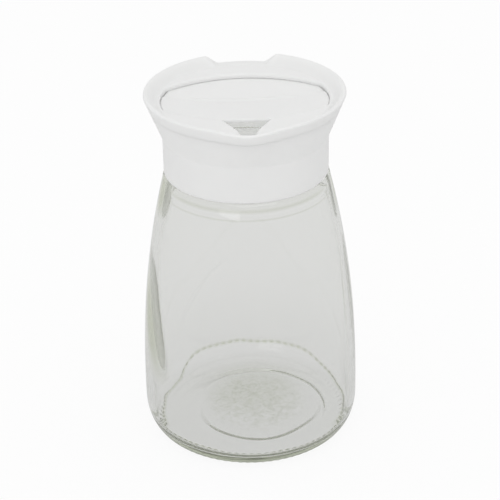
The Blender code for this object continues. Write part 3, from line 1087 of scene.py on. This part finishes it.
    def fold_shade_share(self, points: np.ndarray, angles: np.ndarray) -> np.ndarray:
        """Painted shade along the fold at each point of the inside, from 0 to 1, partly the deeper
        tint of its thicker glass and partly its dark refracted line.

        It is a bell curve wider than the fold's own, cut into shallower dots.

        Args:
            points: Grid of the inside by angles by XYZ.
            angles: Angles of the columns.

        Returns:
            The shares, by rows and columns.
        """
        lift, off = self.off_fold(points, angles)
        share = (self.fold_shade_depth * bell_curve(off, 0.0, self.shade_spread * self.fold_width)
                 * self.dotted(angles, self.shade_dots))
        return np.where(lift < self.fold_limit, share, 0.0)

    def make(self, finish: ClearGlass) -> bpy.types.Object:
        """Builds the jar from its outside and its inside.

        Args:
            finish: The glass.

        Returns:
            The jar's object.
        """
        angles = np.arange(self.columns) * TURN / self.columns
        outside = turned(self.outside(), angles)
        inside = self.inside(angles)
        blank = np.zeros(outside.shape[:2])
        marks = {Mark.FOLD_SHADE: (blank, self.fold_shade_share(inside, angles)),
                 Mark.STREAK_SHADE: (self.streaked(outside, angles), self.streaked(inside, angles)),
                 Mark.OUTER: (blank + 1.0, np.zeros(inside.shape[:2]))}
        self.press_ribs(outside, angles)
        self.drift_inside(inside, angles)
        self.raise_fold(inside, angles)
        jar = make_piece("clear_jar", *closed_ball(np.concatenate([outside, inside])))
        for mark, halves in marks.items():
            values = np.concatenate(halves)
            layer = jar.data.attributes.new(mark.value, "FLOAT", "POINT")
            layer.data.foreach_set("value", np.append(values[1:-1].ravel(), values[[0, -1], 0]))
        settle(jar, Body.JAR, "glass_jar", finish.make())
        return jar


@dataclass
class LidShape:
    """Sizes that the lid's three mouldings share, and the curves worked out from them."""

    skirt_radius: float = 30.8 * MM
    crease_height: float = 122.9 * MM
    flare_height: float = 12.2 * MM
    flare_spread: float = 4.8 * MM
    flare_wall: float = 1.4 * MM
    seat_gap: float = 0.3 * MM
    rim_height: float = 4.6 * MM
    rim_overhang: float = 1.6 * MM
    rim_foot_overhang: float = 0.02 * MM
    rim_width: float = 2.0 * MM
    rim_edge_radius: float = 0.8 * MM
    dish_depth: float = 3.3 * MM
    dish_run: float = 3.4 * MM
    deck_thickness: float = 1.6 * MM
    hoop_depth: float = 3.3 * MM
    hoop_wall: float = 1.0 * MM
    side_clearance: float = 0.5 * MM
    pivot_behind: float = 6.0 * MM
    pivot_drop: float = 1.4 * MM
    boss_radius: float = 1.6 * MM
    opening_front: float = 19.9 * MM
    opening_rear: float = 22.6 * MM
    front_arc_radius: float = 45.0 * MM
    rear_arc_radius: float = 43.5 * MM
    lip_drop: float = 1.3 * MM
    lip_reach: float = 1.4 * MM
    lip_spread: float = 9.5 * MM

    @property
    def flare_top(self) -> float:
        """Height of the flare's upper edge."""
        return self.crease_height + self.flare_height

    @property
    def rim_foot(self) -> float:
        """Height of the rim's lower edge."""
        return self.flare_top + self.seat_gap

    @property
    def rim_top(self) -> float:
        """Height of the rim's top."""
        return self.rim_foot + self.rim_height

    @property
    def rim_radius(self) -> float:
        """Outer radius of the rim."""
        return self.skirt_radius + self.flare_spread + self.rim_overhang

    @property
    def dish_top(self) -> float:
        """Height of the dish's flat."""
        return self.rim_top - self.dish_depth

    @property
    def underside(self) -> float:
        """Height of the deck's underside."""
        return self.dish_top - self.deck_thickness

    @property
    def dish_flat_radius(self) -> float:
        """Radius where the dish's flat ends."""
        return self.rim_radius - self.rim_width - self.dish_run

    @property
    def hoop_foot(self) -> float:
        """Height of the hoop's lower edge."""
        return self.underside - self.hoop_depth

    @property
    def pivot_height(self) -> float:
        """Height of the flap's axis."""
        return self.underside - self.pivot_drop

    def flare_inside(self, height: float) -> float:
        """Radius of the flare's inner face at a height.

        Args:
            height: Height above the ground.

        Returns:
            The radius.
        """
        slope = self.flare_spread / self.flare_height
        across = self.flare_wall * math.hypot(1.0, slope)
        return self.skirt_radius + (height - self.crease_height) * slope - across

    def hoop_outside(self, height: float) -> float:
        """Radius of the hoop's outer face at a height."""
        return self.flare_inside(height) - self.seat_gap

    def hoop_inside(self, height: float) -> float:
        """Radius of the hoop's inner face at a height."""
        return self.hoop_outside(height) - self.hoop_wall

    @property
    def turning_radius(self) -> float:
        """Radius within which the flap's corners swing."""
        return self.hoop_inside(self.hoop_foot) - self.side_clearance

    @property
    def flap_half_length(self) -> float:
        """Half of the flap's length along its axis."""
        return math.sqrt(self.turning_radius ** 2 - (self.pivot_behind + self.boss_radius) ** 2)

    @property
    def rim_lean(self) -> float:
        """How far the rim's outer face leans out for each unit of height."""
        face = self.rim_height - self.rim_edge_radius
        return (self.rim_overhang - self.rim_foot_overhang) / face

    def edge(self, x: np.ndarray, front: bool, margin: float) -> np.ndarray:
        """Y of the opening's front or rear edge: its circle's height over x.

        Args:
            x: Places along the flap's axis.
            front: Whether it is the front edge.
            margin: How far outside the edge the curve runs.

        Returns:
            Y at each place.
        """
        if front:
            depth = np.sqrt((self.front_arc_radius + margin) ** 2 - x ** 2)
            return self.front_arc_radius - self.opening_front - depth
        depth = np.sqrt((self.rear_arc_radius + margin) ** 2 - x ** 2)
        return self.opening_rear - self.rear_arc_radius + depth

    def draw_lip(self, points: np.ndarray) -> np.ndarray:
        """Draws the front of the rim out and down over the spout.

        The move is a bell curve across X, times a ramp in height from the crease to the rim
        and a ramp in radius that starts one dish run inside the dish's flat.

        Args:
            points: Points whose last axis is XYZ.

        Returns:
            The moved points.
        """
        x, y, z = points[..., 0], points[..., 1], points[..., 2]
        upward = np.clip((z - self.crease_height) / (self.rim_top - self.crease_height), 0.0, 1.0)
        outward = (np.hypot(x, y) - self.dish_flat_radius + self.dish_run) / self.dish_run
        share = (bell_curve(x, 0.0, self.lip_spread) * upward * np.clip(outward, 0.0, 1.0)
                 * (y < 0.0))
        moved = points.copy()
        moved[..., 1] -= self.lip_reach * share
        moved[..., 2] -= self.lip_drop * share
        return moved


@dataclass
class Collar:
    """The collar: a skirt over the jar's neck and a flare up to the deck's rim."""

    shape: LidShape
    skirt_wall: float = 1.7 * MM
    skirt_foot: float = 108.7 * MM
    rib_reach: float = 0.3 * MM
    rib_height: float = 1.2 * MM
    ledge_height: float = 121.3 * MM
    plug_radius: float = 24.6 * MM
    plug_depth: float = 3.0 * MM
    plug_wall: float = 1.2 * MM
    roundings: tuple[float, ...] = tuple(
        size * MM for size in (0.45, 0.5, 0.03, 0.2, 0.5, 0.5, 0.4, 0.4, 0.3, 0.3, 0.2, 0.3, 0.2,
                               0.3))
    longest_side: float = 1.2 * MM
    columns: int = 360

    def profile(self) -> np.ndarray:
        """Closed half-section, up the outside, over the flare's edge and down the inside.

        Returns:
            Rows of radius and height; the last joins the first.
        """
        shape = self.shape
        outside = shape.skirt_radius
        inside = outside - self.skirt_wall
        rib = self.skirt_foot + self.rib_height
        half_rib = self.rib_height / 2.0
        top = shape.skirt_radius + shape.flare_spread
        plug_inside = self.plug_radius - self.plug_wall
        plug_foot = self.ledge_height - self.plug_depth
        start = ((inside + outside) / 2.0, self.skirt_foot)
        corners = [start, (outside, self.skirt_foot), (outside, shape.crease_height),
                   (top, shape.flare_top), (shape.flare_inside(shape.flare_top), shape.flare_top),
                   (shape.flare_inside(shape.crease_height), shape.crease_height),
                   (plug_inside, shape.crease_height), (plug_inside, plug_foot),
                   (self.plug_radius, plug_foot), (self.plug_radius, self.ledge_height),
                   (inside, self.ledge_height), (inside, rib + half_rib),
                   (inside - self.rib_reach, rib), (inside, rib - half_rib),
                   (inside, self.skirt_foot), start]
        return subdivided(softened(corners, self.roundings), self.longest_side)[:-1]

    def make(self, finish: MouldedPlastic) -> bpy.types.Object:
        """Builds the collar and draws its front out under the lip.

        Args:
            finish: The plastic.

        Returns:
            The collar's object.
        """
        profile = self.profile()
        points = turned(profile, np.arange(self.columns) * TURN / self.columns)
        points = self.shape.draw_lip(points).reshape(-1, 3)
        collar = make_piece("grip_collar", points,
                            [grid_faces(len(profile), self.columns, True, True)])
        settle(collar, Body.LID, "collar", finish.make())
        return collar


@dataclass
class PourDeck:
    """The deck: rolled rim, dish, lens-shaped opening with a spout cut, and thumb cut."""

    shape: LidShape
    spout_reach: float = 31.7 * MM
    spout_half_width: float = 9.0 * MM
    spout_tip_radius: float = 3.4 * MM
    spout_sector: float = 50.0
    thumb_depth: float = 3.2 * MM
    thumb_floor_width: float = 18.9 * MM
    thumb_top_width: float = 27.0 * MM
    thumb_corner: float = 0.5 * MM
    thumb_blend: float = 0.4 * MM
    dish_blend: float = 0.25 * MM
    flat_least: float = 0.3 * MM
    edge_radius: float = 0.35 * MM
    rear_edge_radius: float = 1.0 * MM
    lower_edge_radius: float = 0.1 * MM
    corner_blend: float = 0.4 * MM
    end_gap: float = 0.15 * MM
    seam: float = 0.02 * MM
    hoop_root: float = 0.4 * MM
    hoop_roundings: tuple[float, ...] = (0.3 * MM, 0.4 * MM, 0.4 * MM, 0.2 * MM, 0.03 * MM)
    rear_shift: float = 0.2
    longest_side: float = 1.0 * MM
    fine_steps: int = 8192
    columns: int = 600

    def spout_radius(self, angle: np.ndarray) -> np.ndarray:
        """Distance from the axis to the spout cut's edge: the tip's circle, then its arms.

        Args:
            angle: Angle from the spout's direction, positive to either side.

        Returns:
            The distance, or 0 beyond the arms.
        """
        tip = self.spout_tip_radius - self.spout_reach
        half = self.spout_half_width
        root = (half, float(self.shape.edge(np.array(half), True, 0.0)))
        span = (root[0], root[1] - tip)
        lean = math.atan2(span[1], span[0]) - math.acos(self.spout_tip_radius / math.hypot(*span))
        normal = (math.cos(lean), math.sin(lean))
        touch = (self.spout_tip_radius * normal[0], tip + self.spout_tip_radius * normal[1])
        facing = normal[0] * np.sin(angle) - normal[1] * np.cos(angle)
        arm = (normal[0] * root[0] + normal[1] * root[1]) / np.clip(facing, 0.1, None)
        inside = np.clip(self.spout_tip_radius ** 2 - (tip * np.sin(angle)) ** 2, 0.0, None)
        circle = -tip * np.cos(angle) + np.sqrt(inside)
        radius = np.where(angle < math.atan2(touch[0], -touch[1]), circle, arm)
        return np.where(angle < math.radians(self.spout_sector), radius, 0.0)

    def opening_radius(self, angles: np.ndarray) -> np.ndarray:
        """Distance from the axis to the opening's edge.

        It is the least of the distances to the two arcs' circles and to the circle of the
        two ends, or the spout cut's where that is more, with the corners blended.

        Args:
            angles: Angles from +X.

        Returns:
            The distance at each angle.
        """
        shape = self.shape
        sine = np.sin(angles)
        cosine = np.cos(angles)
        front_center = shape.front_arc_radius - shape.opening_front
        rear_center = shape.opening_rear - shape.rear_arc_radius
        front = front_center * sine + np.sqrt(shape.front_arc_radius ** 2
                                              - (front_center * cosine) ** 2)
        rear = rear_center * sine + np.sqrt(shape.rear_arc_radius ** 2
                                            - (rear_center * cosine) ** 2)
        ends = np.full_like(sine, shape.turning_radius + self.end_gap)
        lens = smooth_min(smooth_min(front, rear, self.corner_blend), ends, self.corner_blend)
        spout = self.spout_radius(np.arccos(np.clip(-sine, -1.0, 1.0)))
        return -smooth_min(-lens, -spout, self.corner_blend)

    def spread_angles(self) -> np.ndarray:
        """Angles for the columns, closer together where the opening's edge runs longer.

        They cut the sum of the edge's length and a third of the rim's into equal steps.

        Returns:
            The angles, from 0 up to a full turn.
        """
        fine = np.linspace(0.0, TURN, self.fine_steps + 1)
        radius = self.opening_radius(fine)
        step = np.hypot(np.diff(radius), 0.5 * (radius[1:] + radius[:-1]) * np.diff(fine))
        step += self.shape.rim_radius / 3.0 * np.diff(fine)
        run = np.concatenate([[0.0], np.cumsum(step)])
        return np.interp(np.arange(self.columns) / self.columns * run[-1], run, fine)

    def outer_section(self) -> np.ndarray:
        """The part of the section that is the same all round, from the hoop to the rim's top.

        It goes down the hoop's inside, up its outside, up the rim's leaning face and over
        the rim's edge, a quarter circle.

        Returns:
            Rows of radius and height.
        """
        shape = self.shape
        edge = shape.rim_edge_radius
        foot = shape.flare_top + self.seam
        flare_radius = shape.skirt_radius + shape.flare_spread
        rim = arc((shape.rim_radius - edge, shape.rim_top - edge), (edge, edge), 0.0, 90.0, 8)
        corners = [(shape.hoop_inside(shape.underside) - self.hoop_root, shape.underside),
                   (shape.hoop_inside(shape.underside), shape.underside),
                   (shape.hoop_inside(shape.hoop_foot), shape.hoop_foot),
                   (shape.hoop_outside(shape.hoop_foot), shape.hoop_foot),
                   (shape.hoop_outside(foot), foot),
                   (flare_radius + shape.rim_foot_overhang, foot),
                   (shape.rim_radius, shape.rim_top - edge)]
        lower = subdivided(softened(corners, self.hoop_roundings), self.longest_side)
        return np.concatenate([lower, rim[1:]])

    def dish_height(self, radius: np.ndarray) -> np.ndarray:
        """Height of the dish: its flat, easing up to the rim's top.

        Args:
            radius: Distances from the axis.

        Returns:
            The height at each distance.
        """
        shape = self.shape
        reach = shape.dish_run + shape.rim_width - shape.rim_edge_radius
        share = smooth_step((radius - shape.dish_flat_radius) / reach)
        return shape.dish_top + shape.dish_depth * share

    def thumb_level(self, x: np.ndarray, y: np.ndarray) -> np.ndarray:
        """Height of the rim's top with the thumb cut behind: its floor, then its flanks.

        The flank's rise is its slope times half of d plus the root of d squared plus the
        corner squared, where d is the distance beyond the floor's edge.

        Args:
            x: Places across the cut.
            y: Places along it; only those behind the axis are cut.

        Returns:
            The height at each place.
        """
        top = self.shape.rim_top
        slope = self.thumb_depth / ((self.thumb_top_width - self.thumb_floor_width) / 2.0)
        beyond = np.abs(x) - self.thumb_floor_width / 2.0
        rise = slope * 0.5 * (beyond + np.hypot(beyond, self.thumb_corner))
        cut = smooth_min(np.full_like(rise, top), top - self.thumb_depth + rise,
                         self.thumb_blend)
        return np.where(y > 0.0, cut, top)

    def make(self, finish: MouldedPlastic) -> bpy.types.Object:
        """Builds the deck as one closed band that runs round the opening.

        At each angle the outer section is closed by the dish, the opening's wall with its
        two rounded edges, and the underside. In the thumb cut the rim's outer face keeps
        its lean and shrinks in height to the cut's level, and the dish stays under it.

        Args:
            finish: The plastic.

        Returns:
            The deck's object.
        """
        shape = self.shape
        angles = self.spread_angles()
        opening = self.opening_radius(angles)
        outer = self.outer_section()
        behind = smooth_step(np.sin(angles) + self.rear_shift)
        soft = self.edge_radius + (self.rear_edge_radius - self.edge_radius) * behind
        crisp = self.lower_edge_radius
        rim_inside = shape.rim_radius - shape.rim_edge_radius
        inner = np.maximum(shape.dish_flat_radius, opening + soft + self.flat_least)
        share = np.linspace(0.0, 1.0, 9)[1:-1, None]
        turn = np.radians(np.linspace(0.0, 90.0, 5))[:, None]
        fall = 1.0 - np.cos(turn)
        dish = rim_inside + (inner - rim_inside) * np.linspace(0.0, 1.0, 16)[1:, None]
        flat = inner + (opening + soft - inner) * share
        shoulder = opening + soft * (1.0 - np.sin(turn))
        lower = opening + crisp * (1.0 - np.sin(turn[::-1]))
        under = opening + crisp + (outer[0, 0] - opening - crisp) * share
        rows, columns = len(outer), len(angles)
        radius = np.concatenate([np.broadcast_to(outer[:, :1], (rows, columns)), dish, flat,
                                 shoulder, lower, under])
        height = np.concatenate([np.broadcast_to(outer[:, 1:], (rows, columns)),
                                 self.dish_height(dish), self.dish_height(flat),
                                 self.dish_height(opening + soft) - soft * fall,
                                 np.broadcast_to(shape.underside + crisp * fall[::-1],
                                                 lower.shape),
                                 np.full(under.shape, shape.underside)])
        level = self.thumb_level(radius * np.cos(angles), radius * np.sin(angles))
        drop = shape.rim_top - level
        rising = np.clip((outer[:, 1:] - shape.rim_foot) / shape.rim_height, 0.0, 1.0)
        inward = np.clip((dish - shape.dish_flat_radius) / (rim_inside - shape.dish_flat_radius),
                         0.0, 1.0)
        height[:rows] -= drop[:rows] * rising
        radius[:rows] -= shape.rim_lean * drop[:rows] * rising
        height[rows:] = smooth_min(height[rows:], level[rows:], self.dish_blend)
        radius[rows:rows + len(dish)] -= shape.rim_lean * drop[rows:rows + len(dish)] * inward
        points = np.stack([radius * np.cos(angles), radius * np.sin(angles), height], axis=-1)
        points = shape.draw_lip(points).reshape(-1, 3)
        deck = make_piece("dished_deck", points, [grid_faces(len(radius), columns, True, True)])
        settle(deck, Body.LID, "pour_deck", finish.make())
        return deck


@dataclass
class RockerFlap:
    """The flap: two leaves that meet in a shallow valley, and the pins that it rocks on."""

    shape: LidShape
    thickness: float = 1.3 * MM
    sink: float = 0.4 * MM
    tuck: float = 1.2 * MM
    end_trim: float = 0.12 * MM
    straight_half: float = 8.0 * MM
    valley_depth: float = 2.4 * MM
    valley_softness: float = 0.03
    tuck_gap: float = 0.06 * MM
    bead_height: float = 0.5 * MM
    bead_width: float = 0.8 * MM
    bead_half_length: float = 20.0 * MM
    bead_fade: float = 4.0 * MM
    edge_radius: float = 0.35 * MM
    boss_length: float = 1.8 * MM
    stub_radius: float = 1.0 * MM
    pin_roundings: tuple[float, ...] = (0.3 * MM, 0.3 * MM, 0.15 * MM, 0.3 * MM)
    pin_step: float = 0.8 * MM
    pin_columns: int = 48
    columns: int = 180
    rows: int = 24
    row_crowding: float = 1.6

    def leaf_grid(self) -> np.ndarray:
        """The flap's upper face, set in by the edges' rounding.

        Along X it runs over the flap's length, and along Y from the front edge to the axis
        and on to the rear edge; both ends bulge out to the circle that the flap turns in.
        The height runs straight from the axis to each edge, less the valley, which is
        deepest mid-length and fades as x squared, less the softened distance from the
        axis, plus a fine bead on the axis.

        Returns:
            Points as columns by rows by XYZ.
        """
        shape = self.shape
        soft = self.edge_radius
        half = shape.flap_half_length - soft - self.end_trim
        circle = shape.turning_radius - soft - self.end_trim
        x = np.linspace(-half, half, self.columns + 1)[:, None]
        side = np.linspace(-1.0, 1.0, 2 * self.rows + 1)[None, :]
        share = np.sign(side) * np.abs(side) ** self.row_crowding
        swing = np.sqrt(circle ** 2 - x ** 2)
        inset = -shape.side_clearance - soft
        straight = shape.edge(np.array(self.straight_half), True, inset)
        front = np.maximum(np.maximum(shape.edge(x, True, inset), straight), -swing)
        rear = np.minimum(shape.edge(x, False, self.tuck - soft), swing)
        y = shape.pivot_behind + np.where(share < 0.0, (shape.pivot_behind - front) * share,
                                          (rear - shape.pivot_behind) * share)
        bulge = np.maximum(np.sqrt(np.clip(circle ** 2 - y ** 2, 0.0, None)) / half, 1.0)
        front_height = shape.dish_top - self.sink
        rear_height = shape.underside - self.tuck_gap
        front_reach = shape.pivot_behind + shape.opening_front - shape.side_clearance
        rear_reach = shape.opening_rear + self.tuck - shape.pivot_behind
        fall = (front_height - rear_height) * front_reach / (front_reach + rear_reach)
        rise = np.where(share < 0.0, fall, fall - front_height + rear_height) * np.abs(share)
        fold = np.hypot(share, self.valley_softness)
        fold = fold - math.hypot(1.0, self.valley_softness) + 1.0
        depth = self.valley_depth * (1.0 - (x / half) ** 2)
        bead = self.bead_height * bell_curve(y, shape.pivot_behind, self.bead_width)
        bead = bead * smooth_step((self.bead_half_length - np.abs(x)) / self.bead_fade)
        z = front_height - fall + rise - depth * (1.0 - fold) + bead
        return np.stack([x * bulge, y, z], axis=-1)

    def plate(self) -> tuple[np.ndarray, list[np.ndarray]]:
        """The flap's closed plate: upper face, lower face and a rounded band between them.

        The band's rows stand out from the grid's border along its outward direction by the
        edge radius times the sine of the angle, and drop by the radius times 1 minus its
        cosine, then the same mirrored for the lower edge.

        Returns:
            The points and the faces.
        """
        top = self.leaf_grid()
        wide, deep = top.shape[:2]
        number = np.arange(wide * deep).reshape(wide, deep)
        border = np.concatenate([number[:-1, 0], number[-1, :-1], number[:0:-1, -1],
                                 number[0, :0:-1]])
        flat = top.reshape(-1, 3)
        edge = flat[border]
        along = np.roll(edge, -1, axis=0) - np.roll(edge, 1, axis=0)
        outward = np.stack([along[:, 1], -along[:, 0], np.zeros(len(edge))], axis=1)
        outward /= np.linalg.norm(outward, axis=1)[:, None]
        angle = np.radians(np.linspace(0.0, 90.0, 5))[1:]
        soft = self.edge_radius
        drop = np.concatenate([soft * (1.0 - np.cos(angle)),
                               self.thickness - soft * (1.0 - np.cos(angle[::-1]))])
        reach = np.concatenate([soft * np.sin(angle), soft * np.sin(angle[::-1])])
        down = np.array([0.0, 0.0, -1.0])
        band = edge[None] + reach[:, None, None] * outward[None] + drop[:, None, None] * down
        points = np.concatenate([flat, flat + self.thickness * down, band.reshape(-1, 3)])
        count, ring = wide * deep, len(border)
        rows = np.concatenate([(border + count)[None],
                               2 * count + np.arange(len(drop) * ring).reshape(-1, ring)[::-1],
                               border[None]])
        strip = rows.reshape(-1)[grid_faces(len(rows), ring, False, True)]
        quads = grid_faces(wide, deep, False, False)
        return points, [quads[:, ::-1], quads + count, strip]

    def pins(self) -> tuple[np.ndarray, list[np.ndarray]]:
        """The two bosses with their stub pins, turned about the flap's axis.

        Returns:
            The points and the faces.
        """
        shape = self.shape
        outer = shape.flap_half_length - shape.side_clearance
        inner = outer - self.boss_length
        near_pin = shape.flare_inside(shape.pivot_height - self.stub_radius) - shape.seat_gap
        end = math.sqrt(near_pin ** 2 - (shape.pivot_behind + self.stub_radius) ** 2)
        corners = [(0.0, inner), (shape.boss_radius, inner), (shape.boss_radius, outer),
                   (self.stub_radius, outer), (self.stub_radius, end), (0.0, end)]
        profile = subdivided(softened(corners, self.pin_roundings), self.pin_step)
        angles = np.arange(self.pin_columns) * TURN / self.pin_columns
        lathe, faces = closed_ball(turned(profile, angles))
        right = np.stack([lathe[:, 2], lathe[:, 0], lathe[:, 1]], axis=1)
        left = right * np.array([-1.0, -1.0, 1.0])
        place = np.array([0.0, shape.pivot_behind, shape.pivot_height])
        return (np.concatenate([right, left]) + place,
                faces + [face + len(lathe) for face in faces])

    def make(self, finish: MouldedPlastic) -> list[bpy.types.Object]:
        """Builds the plate and the pins.

        Args:
            finish: The plastic.

        Returns:
            Their objects.
        """
        material = finish.make()
        pieces = [make_piece("rocking_leaves", *self.plate()),
                  make_piece("flap_pins", *self.pins())]
        for piece in pieces:
            settle(piece, Body.FLAP, "rocker_flap", material)
        return pieces


def outward(azimuth: float, elevation: float) -> Vector:
    """The unit vector towards an azimuth, from -Y to +X, and an elevation.

    It is (sin azimuth cos elevation, -cos azimuth cos elevation, sin elevation).

    Args:
        azimuth: Degrees round the axis.
        elevation: Degrees above the ground.

    Returns:
        The vector.
    """
    azimuth, elevation = math.radians(azimuth), math.radians(elevation)
    return Vector((math.sin(azimuth) * math.cos(elevation),
                   -math.cos(azimuth) * math.cos(elevation), math.sin(elevation)))


@dataclass(frozen=True)
class Softbox:
    """A square lamp that looks at the dispenser."""

    name: str
    azimuth: float
    elevation: float
    distance: float
    size: float
    radiance: float

    def hang(self, aim: Vector) -> None:
        """Puts the lamp on a sphere about its aim, facing it.

        Args:
            aim: The sphere's middle.
        """
        lamp = bpy.data.lights.new(self.name, "AREA")
        lamp.shape = "SQUARE"
        lamp.size = self.size
        lamp.energy = self.radiance * math.pi * self.size ** 2
        holder = bpy.data.objects.new(self.name, lamp)
        bpy.context.scene.collection.objects.link(holder)
        back = outward(self.azimuth, self.elevation)
        holder.location = aim + back * self.distance
        holder.rotation_mode = "QUATERNION"
        holder.rotation_quaternion = back.to_track_quat("Z", "Y")


@dataclass
class Studio:
    """Pale floor, even white surround, soft lamps and the camera."""

    camera_distance: float = 0.7
    camera_elevation: float = 28.04
    camera_azimuth: float = -1.8
    camera_roll: float = -1.21
    camera_focal_px: float = 1830.25
    camera_near: float = 0.01
    sensor_mm: float = 36.0
    image_px: float = 500.0
    aim: tuple[float, float, float] = (0.75 * MM, 0.0, 73.59 * MM)
    fill: float = 0.76
    glass_surround: float = 0.77
    floor_half: float = 3.0
    floor_drop: float = 0.05 * MM
    floor_albedo: float = 0.92
    floor_glow: float = 0.92
    glass_floor: float = 0.75
    glass_floor_shadow: float = 0.14
    floor_shadow_reach: float = 90.0 * MM
    lamps: tuple[Softbox, ...] = (Softbox("top_lamp", azimuth=20.0, elevation=78.0, distance=1.4,
                                          size=0.9, radiance=1.1),
                                  Softbox("front_lamp", azimuth=-25.0, elevation=14.0,
                                          distance=1.6, size=0.8, radiance=0.9))

    def place_camera(self) -> None:
        """Sets the camera from its azimuth, elevation, roll, distance and focal length."""
        azimuth, roll = math.radians(self.camera_azimuth), math.radians(self.camera_roll)
        back = outward(self.camera_azimuth, self.camera_elevation)
        level = Vector((math.cos(azimuth), math.sin(azimuth), 0.0))
        right = level * math.cos(roll) + back.cross(level) * math.sin(roll)
        turn = Matrix((right, back.cross(right), back)).transposed().to_4x4()
        aim = level * self.aim[0] + Vector((0.0, 0.0, self.aim[2]))
        lens = bpy.data.cameras.new("camera")
        lens.sensor_width = self.sensor_mm
        lens.lens = self.camera_focal_px / self.image_px * self.sensor_mm
        lens.clip_start = self.camera_near
        camera = bpy.data.objects.new("camera", lens)
        bpy.context.scene.collection.objects.link(camera)
        camera.matrix_world = Matrix.Translation(aim + back * self.camera_distance) @ turn
        bpy.context.scene.camera = camera

    def lay_floor(self) -> None:
        """Lays the floor: a pale matt plane whose plain glow lifts it to the backdrop's white.

        Glass and gloss see a slightly greyer glow than the camera does, with a painted shadow
        greyest under the
        jar: 1 minus the shadow's depth times the bell curve of the distance over the reach.
        """
        half = self.floor_half
        corners = np.array([(-half, -half), (half, -half), (half, half), (-half, half)])
        points = np.column_stack([corners, np.full(4, -self.floor_drop)])
        floor = make_piece("floor", points, [np.array([[0, 1, 2, 3]])])
        material = bpy.data.materials.new("pale_floor")
        sheet = NodeSheet.cleared(material)
        output = sheet.add("ShaderNodeOutputMaterial")
        matt = sheet.add("ShaderNodeBsdfDiffuse", Color=(self.floor_albedo,) * 3 + (1.0,))
        glow = sheet.add("ShaderNodeEmission")
        path = sheet.add("ShaderNodeLightPath").outputs
        seen = sheet.math("MAXIMUM", path["Is Camera Ray"], path["Is Glossy Ray"])
        seen = sheet.math("MAXIMUM", seen, path["Is Transmission Ray"])
        share = sheet.math("MULTIPLY", seen, self.floor_glow)
        place = sheet.add("ShaderNodeTexCoord")
        distance = sheet.vector("LENGTH", place.outputs["Object"]).outputs["Value"]
        square = sheet.math("POWER", distance, 2.0)
        bell = sheet.math("MULTIPLY", square, -1.0 / self.floor_shadow_reach ** 2)
        bell = sheet.math("EXPONENT", bell)
        # Painted shadow under the jar, seen by glass and gloss alone.
        grey = sheet.math("MULTIPLY", bell, -self.glass_floor_shadow * self.glass_floor)
        grey = sheet.math("ADD", grey, self.glass_floor)
        grey = sheet.math("MAXIMUM", grey, path["Is Camera Ray"])
        sheet.join(grey, glow.inputs["Strength"])
        blend = sheet.mixed(share, matt.outputs[0], glow.outputs[0])
        sheet.join(blend, output.inputs["Surface"])
        floor.data.materials.append(material)

    def light_world(self) -> None:
        """Sets the world: even fill light, a white backdrop and a paler one for the glass."""
        world = bpy.data.worlds.new("studio")
        bpy.context.scene.world = world
        sheet = NodeSheet.cleared(world)
        output = sheet.add("ShaderNodeOutputWorld")
        fill, surround, white = [
            sheet.add("ShaderNodeBackground", Color=(1.0, 1.0, 1.0, 1.0), Strength=strength)
            for strength in (self.fill, self.glass_surround, 1.0)]
        path = sheet.add("ShaderNodeLightPath").outputs
        through = sheet.math("MAXIMUM", path["Is Glossy Ray"], path["Is Transmission Ray"])
        clear = sheet.mixed(through, fill.outputs[0], surround.outputs[0])
        seen = sheet.mixed(path["Is Camera Ray"], clear, white.outputs[0])
        sheet.join(seen, output.inputs["Surface"])

    def make(self) -> None:
        """Sets up the camera, floor, world and lamps."""
        self.place_camera()
        self.lay_floor()
        self.light_world()
        for lamp in self.lamps:
            lamp.hang(Vector((0.0, 0.0, self.aim[2])))
        bpy.context.scene.view_settings.view_transform = "Standard"


def main() -> None:
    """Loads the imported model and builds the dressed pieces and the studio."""
    logging.basicConfig(level=logging.INFO, format="%(name)s: %(message)s")
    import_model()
    shape = LidShape()
    GlassJar().make(ClearGlass("clear_pressed_glass"))
    Collar(shape).make(MouldedPlastic("white_collar_plastic", glows_in_chamber=True))
    PourDeck(shape).make(MouldedPlastic("white_deck_plastic", glows_in_chamber=True))
    RockerFlap(shape).make(MouldedPlastic("white_flap_plastic"))
    Studio().make()


if __name__ == "__main__":
    main()
